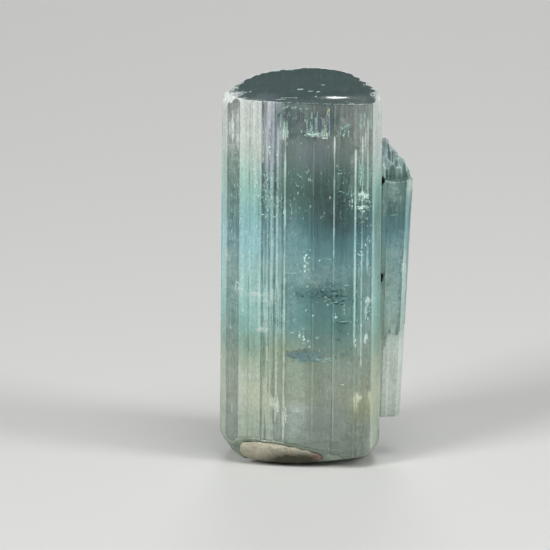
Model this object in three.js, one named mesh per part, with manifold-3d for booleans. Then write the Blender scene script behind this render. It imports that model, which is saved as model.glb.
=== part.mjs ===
// Indicolite tourmaline crystal: a stout striated prism with a flat top, a slimmer crystal grown
// on its right-hand flank, and a small patch of host rock left under its broken front edge.
// Millimetres, +Z up along the prism, -Y is the front. The origin is on the resting face.
import * as THREE from 'three';
import Module from 'manifold-3d';

const wasm = await Module();
wasm.setup();

// Driving dimensions
const mainHeight = 30.2;          // resting face to flat top
const leanDegrees = 0.42;         // the break is not quite square, so the prism leans to the right
const ridgeWidth = 0.16;          // raised growth lines between two flats
const ridgeHeight = 0.07;
const cornerGap = 0.015;          // the riser between two flats starts this close to their corner
const ledgeRise = 0.12;           // half the height over which a growth ledge steps in
const wornEdge = 0.07;            // how far every sharp edge of the prism is worn back
const sideFoot = 3.4;             // the side crystal hangs on the flank, clear of the ground
const sideShoulder = 23.1;        // front edge of its broken tip
const sideTipSlope = 0.36;        // the tip's front facet rises backwards
const sideTipRise = 0.7;          // and this far in all
const lumpDrop = 0.5;             // how far a lump falls away at its reach
const sideFootScale = 0.75;       // the side crystal widens upwards
const sideWornEdge = 0.12;
const sideLevels = [12, 21.5];    // heights at which its walls are divided
const mainFirstLevel = 3;         // and where the prism's walls start above the chips
const capShares = [0.3, 0.5, 0.62, 0.74, 0.86, 0.98];   // rings of the break, from the middle out
const tipShares = [0.95, 0.8, 0.65, 0.5, 0.35, 0.2];    // rings of the side crystal's tip
const patchFoot = 0.3;            // the rock patch stays clear of the ground
const patchGap = 0.05;            // between the patch and the chipped face it sits under
const patchBulge = 0.1;
const patchEdge = 0.05;           // least thickness
const patchCurl = 0.02;           // its ends curl up from the foot, per square millimetre

// The prism seen from above, counter-clockwise from the front right edge. Three bulging sides meet
// in blunt corners. Each row is a flat's far corner and how far that flat stands proud.
const mainFlats = [
  { corner: [6.33, -3.85], proud: 0.02 },
  { corner: [6.22, -3.0], proud: 0 },
  { corner: [5.92, -1.55], proud: 0.06 },
  { corner: [5.6, -0.35], proud: 0 },
  { corner: [5.15, 1.1], proud: 0.07 },
  { corner: [4.72, 2.5], proud: 0.02 },
  { corner: [4.2, 3.75], proud: 0.08 },
  { corner: [3.55, 4.9], proud: 0 },
  { corner: [2.6, 5.78], proud: 0.05 },
  { corner: [1.4, 6.2], proud: 0 },
  { corner: [-0.3, 6.2], proud: 0.06 },
  { corner: [-1.6, 5.75], proud: 0 },
  { corner: [-2.75, 4.95], proud: 0.05 },
  { corner: [-3.75, 3.85], proud: 0.01 },
  { corner: [-4.55, 2.6], proud: 0.08 },
  { corner: [-5.2, 1.25], proud: 0.02 },
  { corner: [-5.75, -0.2], proud: 0.06 },
  { corner: [-6.2, -1.4], proud: 0 },
  { corner: [-6.4, -2.4], proud: 0.04 },
  { corner: [-6.05, -3.4], proud: 0 },
  { corner: [-5.28, -4.2], proud: -0.04 },
  { corner: [-4.3, -4.62], proud: 0.03 },
  { corner: [-3.26, -4.98], proud: 0.05 },
  { corner: [-2.25, -5.27], proud: -0.04 },
  { corner: [-1.45, -5.48], proud: 0 },
  { corner: [2.45, -6.08], proud: 0, ridge: true },
  { corner: [4.15, -6.14], proud: -0.03, ridge: true },
  { corner: [5.0, -5.99], proud: 0, ridge: true },
  { corner: [5.6, -5.8], proud: 0.04 },
];

// The side crystal's outline at its shoulder. Its left half is buried in the prism.
const sideFlats = [
  { corner: [8.72, -2.1], proud: 0 },
  { corner: [8.87, -1.2], proud: 0.03 },
  { corner: [8.62, -0.2], proud: 0 },
  { corner: [8.0, 0.65], proud: 0.04 },
  { corner: [7.1, 1.05], proud: 0 },
  { corner: [5.9, 0.95], proud: 0.03 },
  { corner: [5.3, 0], proud: 0 },
  { corner: [5.35, -1.6], proud: 0 },
  { corner: [6.0, -2.55], proud: 0 },
  { corner: [6.6, -2.92], proud: 0 },
  { corner: [7.3, -2.97], proud: 0.03 },
  { corner: [8.2, -2.95], proud: 0 },
];
const sideAnchor = [5.3, -1.2];   // the outline widens away from this point

// Growth ledges: above each height, the flats on that side stand further in.
const ledges = [
  { height: 7.5, depth: 0.1, covers: (x, y) => x > 2 && y > 2 },
  { height: 13.8, depth: 0.12, covers: (x, y) => x < -3.5 && y > 0 },
  { height: 20.5, depth: 0.1, covers: (x, y) => y > 4.5 },
  { height: 27.2, depth: 0.14, covers: (x, y) => x > -1.5 && x < 4.2 && y < -5 },
];

// Chips out of the break. Each takes everything beyond `inset` in the direction `towards`.
const bedChip = { towards: [-0.318, -0.948], inset: 3.87, slope: 1.16 };
const breakChips = [
  bedChip,
  { towards: [0.5, -0.866], inset: 4.0, slope: 0.28 },
  { towards: [-0.954, -0.3], inset: 5.12, slope: 1.23 },
  { towards: [0.97, -0.24], inset: 5.7, slope: 1.3 },
  { towards: [0.5, 0.866], inset: 5.3, slope: 0.7 },
  { towards: [-0.8, 0.6], inset: 5.2, slope: 0.9 },
];

// Places where the top's rim has crumbled, and how deep.
const rimChips = [
  { at: [-6.3, -2.9], reach: 1.2, depth: 0.5 },
  { at: [-4.6, -4.6], reach: 0.8, depth: 0.16 },
  { at: [6.3, -3.9], reach: 1.0, depth: 0.3 },
  { at: [5.6, -0.4], reach: 1.1, depth: 0.24 },
  { at: [4.4, 3.4], reach: 0.9, depth: 0.18 },
  { at: [-1.2, 6], reach: 0.9, depth: 0.2 },
];

// Glassy lumps on the side crystal's broken tip.
const tipLumps = [
  { at: [6.1, -0.4], reach: 0.85, top: 25.7 },
  { at: [6.85, 0.2], reach: 0.6, top: 25.1 },
  { at: [6.4, -1.5], reach: 0.6, top: 24.8 },
  { at: [7.3, -0.35], reach: 0.55, top: 24.5 },
  { at: [7.75, 0.3], reach: 0.5, top: 24.1 },
  { at: [8.2, -0.5], reach: 0.4, top: 23.9 },
];

// Two hollows in the seam between the crystals: low and high corners.
const seamHollows = [
  { low: [6.14, -4, 14.35], high: [6.56, -1.7, 15.45] },
  { low: [6.2, -4, 22.6], high: [6.56, -2.0, 23.5] },
];

// The rock patch seen from above, counter-clockwise from its right-hand end.
const patchOutline = [
  [1.5, -5.1], [0.5, -4.65], [-0.8, -4.3], [-2.2, -3.95], [-3.6, -3.75], [-4.5, -3.9],
  [-4.75, -4.3], [-3.9, -4.68], [-3.1, -4.95], [-2.2, -5.2], [-1.3, -5.42], [-0.4, -5.57],
  [0.6, -5.7], [1.3, -5.76], [1.8, -5.55],
];
const patchMiddle = [-1.6, -4.8];

const tourmaline = new THREE.MeshStandardMaterial({ color: 0x6d9c98, roughness: 0.2, metalness: 0 });
const feldspar = new THREE.MeshStandardMaterial({ color: 0xb9b39c, roughness: 0.75, metalness: 0 });

const lean = Math.tan(THREE.MathUtils.degToRad(leanDegrees));

/** The outline's points: a start and an end for each flat, and two more for a ridge. */
function steppedOutline(flats) {
  const points = [];
  flats.forEach((flat, number) => {
    const from = new THREE.Vector2(...flats[(number || flats.length) - 1].corner);
    const along = new THREE.Vector2(...flat.corner).sub(from);
    const length = along.length();
    along.normalize();
    const outward = new THREE.Vector2(along.y, -along.x);
    const place = (distance, height) => {
      const point = from.clone().addScaledVector(along, distance).addScaledVector(outward, height);
      points.push([point.x, point.y]);
    };
    if (flat.ridge) {
      place(cornerGap, ridgeHeight);
      place(ridgeWidth, ridgeHeight);
    }
    place(flat.ridge ? ridgeWidth + 2 * cornerGap : cornerGap, flat.proud);
    place(length - cornerGap, flat.proud);
  });
  return points;
}

/** The point moved towards the middle by a distance. */
function movedIn([x, y], distance) {
  const share = 1 - distance / Math.hypot(x, y);
  return [x * share, y * share];
}

/** A closed solid over a stack of rings, fanned to a point below and above. */
function solidOver(rings, foot, tip) {
  const columns = rings[0].length;
  const positions = [foot, ...rings.flat(), tip].flat();
  const tipNumber = positions.length / 3 - 1;
  const triangles = [];
  for (let column = 0; column < columns; column++) {
    const next = (column + 1) % columns;
    triangles.push(0, 1 + next, 1 + column);
    for (let ring = 0; ring + 1 < rings.length; ring++) {
      const low = 1 + ring * columns;
      const high = low + columns;
      triangles.push(low + column, low + next, high + next);
      triangles.push(low + column, high + next, high + column);
    }
    const last = 1 + (rings.length - 1) * columns;
    triangles.push(last + column, last + next, tipNumber);
  }
  return new wasm.Manifold(new wasm.Mesh({
    numProp: 3,
    vertProperties: Float32Array.from(positions),
    triVerts: Uint32Array.from(triangles),
  }));
}

/** How high one chip reaches over a point of the break. */
function chipHeight(chip, x, y) {
  return (chip.towards[0] * x + chip.towards[1] * y - chip.inset) * chip.slope;
}

/** The underside of the break over a point: flat in the middle, chipped along its edge. */
function breakHeight(x, y) {
  return Math.max(0, ...breakChips.map((chip) => chipHeight(chip, x, y)));
}

/** How far the top's rim is worn away beside a point. */
function rimWear([x, y]) {
  const wear = rimChips.map(({ at, reach, depth }) => {
    const share = Math.hypot(x - at[0], y - at[1]) / reach;
    return depth * Math.exp(-share * share);
  });
  return wornEdge + Math.max(...wear);
}

/** How far the wall stands in from the outline at a height. */
function ledgeDepth([x, y], z) {
  const above = ledges.filter((ledge) => z > ledge.height && ledge.covers(x, y));
  return above.reduce((sum, ledge) => sum + ledge.depth, 0);
}

/** The main prism: broken base, stepped walls, flat top. */
function mainPrism() {
  const outline = steppedOutline(mainFlats);
  const leaning = ([x, y], z) => [x + lean * z, y, z];
  const capRing = (share) => outline.map(([x, y]) => {
    const height = breakHeight(x * share, y * share);
    return leaning([x * share, y * share], height);
  });
  const wallRing = (z) => outline.map((point) => leaning(movedIn(point, ledgeDepth(point, z)), z));
  const levels = [mainFirstLevel];
  ledges.forEach(({ height }) => levels.push(height - ledgeRise, height + ledgeRise));
  const walls = levels.sort((a, b) => a - b).map(wallRing);
  const rim = outline.map((point) => {
    const wall = movedIn(point, ledgeDepth(point, mainHeight));
    return leaning(wall, mainHeight - rimWear(point));
  });
  const topRing = (share) => outline.map((point) => {
    const edge = movedIn(point, ledgeDepth(point, mainHeight) + rimWear(point));
    return leaning([edge[0] * share, edge[1] * share], mainHeight);
  });
  const footEdge = outline.map(([x, y]) => leaning([x, y], breakHeight(x, y) + 2 * wornEdge));
  const rings = [...capShares.map(capRing), footEdge, ...walls, rim, topRing(1), topRing(0.5)];
  return solidOver(rings, leaning([0, 0], 0), leaning([0, 0], mainHeight));
}

/** The top of the side crystal over a point: a sloping facet with lumps behind it. */
function tipHeight(x, y) {
  const facet = sideShoulder + sideTipSlope * (y - sideFlats.at(-1).corner[1]);
  const lumps = tipLumps.map(({ at, reach, top }) => {
    const share = Math.hypot(x - at[0], y - at[1]) / reach;
    return top - lumpDrop * share * share;
  });
  return Math.max(Math.min(facet, sideShoulder + sideTipRise), ...lumps);
}

/** A point moved towards another, to a share of its distance. */
function drawnTo(middle, [x, y], share) {
  return [middle[0] + (x - middle[0]) * share, middle[1] + (y - middle[1]) * share];
}

/** The side crystal, before it is joined to the prism. */
function sideCrystal() {
  const corners = steppedOutline(sideFlats);
  const outline = corners.flatMap((corner, number) => [
    corner, drawnTo(corner, corners[(number + 1) % corners.length], 0.5),
  ]);
  const middle = drawnTo(sideAnchor, sideFlats[1].corner, 0.5);
  const grown = (point, z) => {
    const climb = (z - sideFoot) / (sideShoulder - sideFoot);
    const [x, y] = drawnTo(sideAnchor, point, sideFootScale + (1 - sideFootScale) * climb);
    return [x + lean * z, y, z];
  };
  const wallRing = (z, share) => outline.map((point) => grown(drawnTo(middle, point, share), z));
  const tipPoint = ([x, y], drop) => {
    const z = tipHeight(x, y) - drop;
    return [x + lean * z, y, z];
  };
  const tipRing = (share, drop) => outline.map((point) => tipPoint(drawnTo(middle, point, share), drop));
  const rings = [
    wallRing(sideFoot, 0.92),
    wallRing(sideFoot + sideWornEdge, 1),
    ...sideLevels.map((z) => wallRing(z, 1)),
    tipRing(1, 2 * sideWornEdge),
    ...tipShares.map((share) => tipRing(share, 0)),
  ];
  return solidOver(rings, grown(middle, sideFoot), tipPoint(middle, 0));
}

/** A leaning block between two corners. */
function hollow({ low, high }) {
  const corners = [[low[0], low[1]], [high[0], low[1]], [high[0], high[1]], [low[0], high[1]]];
  const leaning = ([x, y], z) => [x + lean * z, y, z];
  const ring = (z) => corners.map((corner) => leaning(corner, z));
  const middle = drawnTo(corners[0], corners[2], 0.5);
  return solidOver([ring(low[2]), ring(high[2])], leaning(middle, low[2]), leaning(middle, high[2]));
}

/** The rock patch: flat against the chipped face above, bulging in front and below. */
function rockPatch() {
  const top = (x, y) => chipHeight(bedChip, x, y) - patchGap;
  const foot = (x, y) => {
    const curled = patchFoot + patchCurl * (x - patchMiddle[0]) ** 2;
    return Math.min(curled, top(x, y) - patchEdge);
  };
  const ring = (share, height) => patchOutline.map((point) => {
    const [x, y] = drawnTo(patchMiddle, point, share);
    return [x, y, height(x, y)];
  });
  const waist = patchOutline.map(([x, y]) => {
    const front = y < patchMiddle[1] ? y - patchBulge : y;
    return [x, front, (foot(x, front) + top(x, front)) / 2];
  });
  return solidOver(
    [ring(0.5, foot), ring(0.88, foot), waist, ring(0.98, top), ring(0.5, top)],
    [...patchMiddle, foot(...patchMiddle)],
    [...patchMiddle, top(...patchMiddle)],
  );
}

/** A named mesh from a solid. */
function meshOf(name, solid, material) {
  const { vertProperties, triVerts } = solid.getMesh();
  const geometry = new THREE.BufferGeometry();
  geometry.setAttribute('position', new THREE.Float32BufferAttribute(vertProperties, 3));
  geometry.setIndex(new THREE.Uint32BufferAttribute(triVerts, 1));
  geometry.computeVertexNormals();
  const mesh = new THREE.Mesh(geometry, material);
  mesh.name = name;
  return mesh;
}

const crystal = seamHollows.reduce(
  (solid, corners) => solid.subtract(hollow(corners)),
  mainPrism().add(sideCrystal()),
);

const group = new THREE.Group();
group.add(meshOf('crystal', crystal, tourmaline));
group.add(meshOf('matrix_remnant', rockPatch(), feldspar));

export default group;
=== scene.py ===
import math
import bmesh
import bpy
import numpy as np
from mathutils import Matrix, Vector
from mathutils.bvhtree import BVHTree


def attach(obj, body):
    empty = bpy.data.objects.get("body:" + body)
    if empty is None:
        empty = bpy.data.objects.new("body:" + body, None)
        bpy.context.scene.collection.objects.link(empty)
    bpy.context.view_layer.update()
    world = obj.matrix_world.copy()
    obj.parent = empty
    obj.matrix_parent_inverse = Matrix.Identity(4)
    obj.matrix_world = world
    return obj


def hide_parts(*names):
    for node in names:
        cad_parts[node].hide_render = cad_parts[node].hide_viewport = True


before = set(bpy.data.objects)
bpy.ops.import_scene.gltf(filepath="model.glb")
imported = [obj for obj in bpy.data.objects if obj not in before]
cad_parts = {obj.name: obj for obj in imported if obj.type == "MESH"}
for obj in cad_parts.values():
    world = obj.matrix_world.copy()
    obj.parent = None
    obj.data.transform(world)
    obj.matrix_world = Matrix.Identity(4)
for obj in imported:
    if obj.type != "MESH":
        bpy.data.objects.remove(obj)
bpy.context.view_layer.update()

mm = 0.001                                # sizes below are in millimetres
lean = math.tan(math.radians(0.42))       # both crystals lean to the right by this much
prismSkin, sideSkin, topSkin = 1, 2, 3    # which skin a point came from


def makePiece(name, points, faces, marks=None):
    mesh = bpy.data.meshes.new(name)
    mesh.from_pydata((np.asarray(points) * mm).tolist(), [], faces)
    mesh.update()
    for mark, values in (marks or {}).items():
        layer = mesh.attributes.new(mark, "FLOAT", "POINT")
        layer.data.foreach_set("value", np.asarray(values, np.float32))
    piece = bpy.data.objects.new(name, mesh)
    bpy.context.scene.collection.objects.link(piece)
    return piece


def countTriangles(mesh):
    return sum(len(face.vertices) - 2 for face in mesh.polygons)


def smoothStep(value):
    value = np.clip(value, 0, 1)
    return value * value * (3 - 2 * value)


def between(heights, low, high, fade):
    # 1 between two heights, with soft ends
    return smoothStep((heights - low) / fade) * smoothStep((high - heights) / fade)


def softNoise(draws, a, b, stepA, stepB):
    # smooth random values from -1 to 1 over two coordinates, one new value for each step
    a, b = np.broadcast_arrays(a / stepA, b / stepB)
    a = a - a.min()
    b = b - b.min()
    values = draws.uniform(-1, 1, (int(a.max()) + 2, int(b.max()) + 2))
    cellA = a.astype(int)
    cellB = b.astype(int)
    partA = smoothStep(a - cellA)
    partB = smoothStep(b - cellB)
    low = values[cellA, cellB] * (1 - partA) + values[cellA + 1, cellB] * partA
    high = values[cellA, cellB + 1] * (1 - partA) + values[cellA + 1, cellB + 1] * partA
    return low * (1 - partB) + high * partB


def unevenness(draws, arc, heights, strength, wide, tall=1):
    # soft patches of a given strength, width and height over a wall
    return strength * softNoise(draws, arc, heights, wide, tall)


def skinOver(rings, foot, tip, leaning=lean):
    # one closed skin over a stack of rings, with a fan of triangles below and above
    columns = len(rings[0])
    low = 1 + columns * np.arange(len(rings) - 1)[:, None] + np.arange(columns)
    after = 1 + columns * np.arange(len(rings) - 1)[:, None] + np.roll(np.arange(columns), -1)
    faces = np.stack([low, after, after + columns, low + columns], 2).reshape(-1, 4).tolist()
    last = 1 + columns * (len(rings) - 1)
    faces += [(0, 1 + (column + 1) % columns, 1 + column) for column in range(columns)]
    faces += [(last + column, last + (column + 1) % columns, last + columns)
              for column in range(columns)]
    points = np.concatenate([np.array([foot]), *rings, np.array([tip])])
    points[:, 0] += leaning * points[:, 2]
    return points, faces


def walkOutline(settings):
    # columns along the flats, closest on the front: x, y, outward x, outward y, striation, frost
    columns = []
    flats = settings["flats"]
    gap = settings["cornerGap"]
    for number, (cornerX, cornerY, proud, striation, frost) in enumerate(flats):
        start = Vector(flats[number - 1][:2])
        along = Vector((cornerX, cornerY)) - start
        length = along.length
        along.normalize()
        outward = Vector((along.y, -along.x))
        width = settings["frontColumn"] if cornerY < settings["frontLimit"] else settings["backColumn"]
        count = max(2, round(length / width))
        for step in range(count):
            distance = gap + (length - 2 * gap) * step / (count - 1)
            place = start + along * distance + outward * proud
            columns.append((*place, *outward, striation, frost))
    columns = np.array(columns)
    steps = np.hypot(*(columns[:, :2] - np.roll(columns[:, :2], 1, 0)).T)
    return columns, np.cumsum(steps)


ribShape = {
    "ends": (-15, 45),                    # heights between which a rib starts and stops
    "edge": 0.05,                         # how softly its sides rise from the wall
    "fade": 0.8,                          # how softly it starts and stops
}


def ribRelief(arc, heights, striation, settings):
    # fine upright ribs and grooves that start and stop at different heights
    draws = np.random.default_rng(settings["seed"])
    relief = np.zeros_like(heights)
    around = arc[-1]
    for rib in range(settings["ribs"]):
        centre = draws.uniform(0, around)
        width = draws.uniform(*settings["ribWidth"])
        height = draws.uniform(-1, 1) * settings["ribHeight"]
        low, high = np.sort(draws.uniform(*ribShape["ends"], 2))
        away = np.abs((arc - centre + around / 2) % around - around / 2)
        near = np.nonzero(away < width)[0]
        across = smoothStep((width / 2 - away[near]) / ribShape["edge"] + 0.5)
        upright = between(heights[:, near], low, high, ribShape["fade"])
        relief[:, near] += height * across * upright * striation[near]
    return relief


def spotStrength(spots, points):
    # adds up soft oval spots, each: x, z, half width, half height, strength
    x = points[:, 0] - lean * points[:, 2]
    total = np.zeros_like(x)
    for spotX, spotZ, wide, tall, strength in spots:
        away = ((x - spotX) / wide) ** 2 + ((points[:, 2] - spotZ) / tall) ** 2
        total += strength * np.exp(-away)
    return total


def boundMarks(marks):
    # keeps the marks of a skin within what its material can show
    limits = {"frost": (0, 1), "tone": (-1, 1), "films": (-1, 1), "flecks": (0, 0.9), "hue": (-1, 1)}
    return {mark: np.clip(values, *limits[mark]) if mark in limits else values
            for mark, values in marks.items()}


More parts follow.
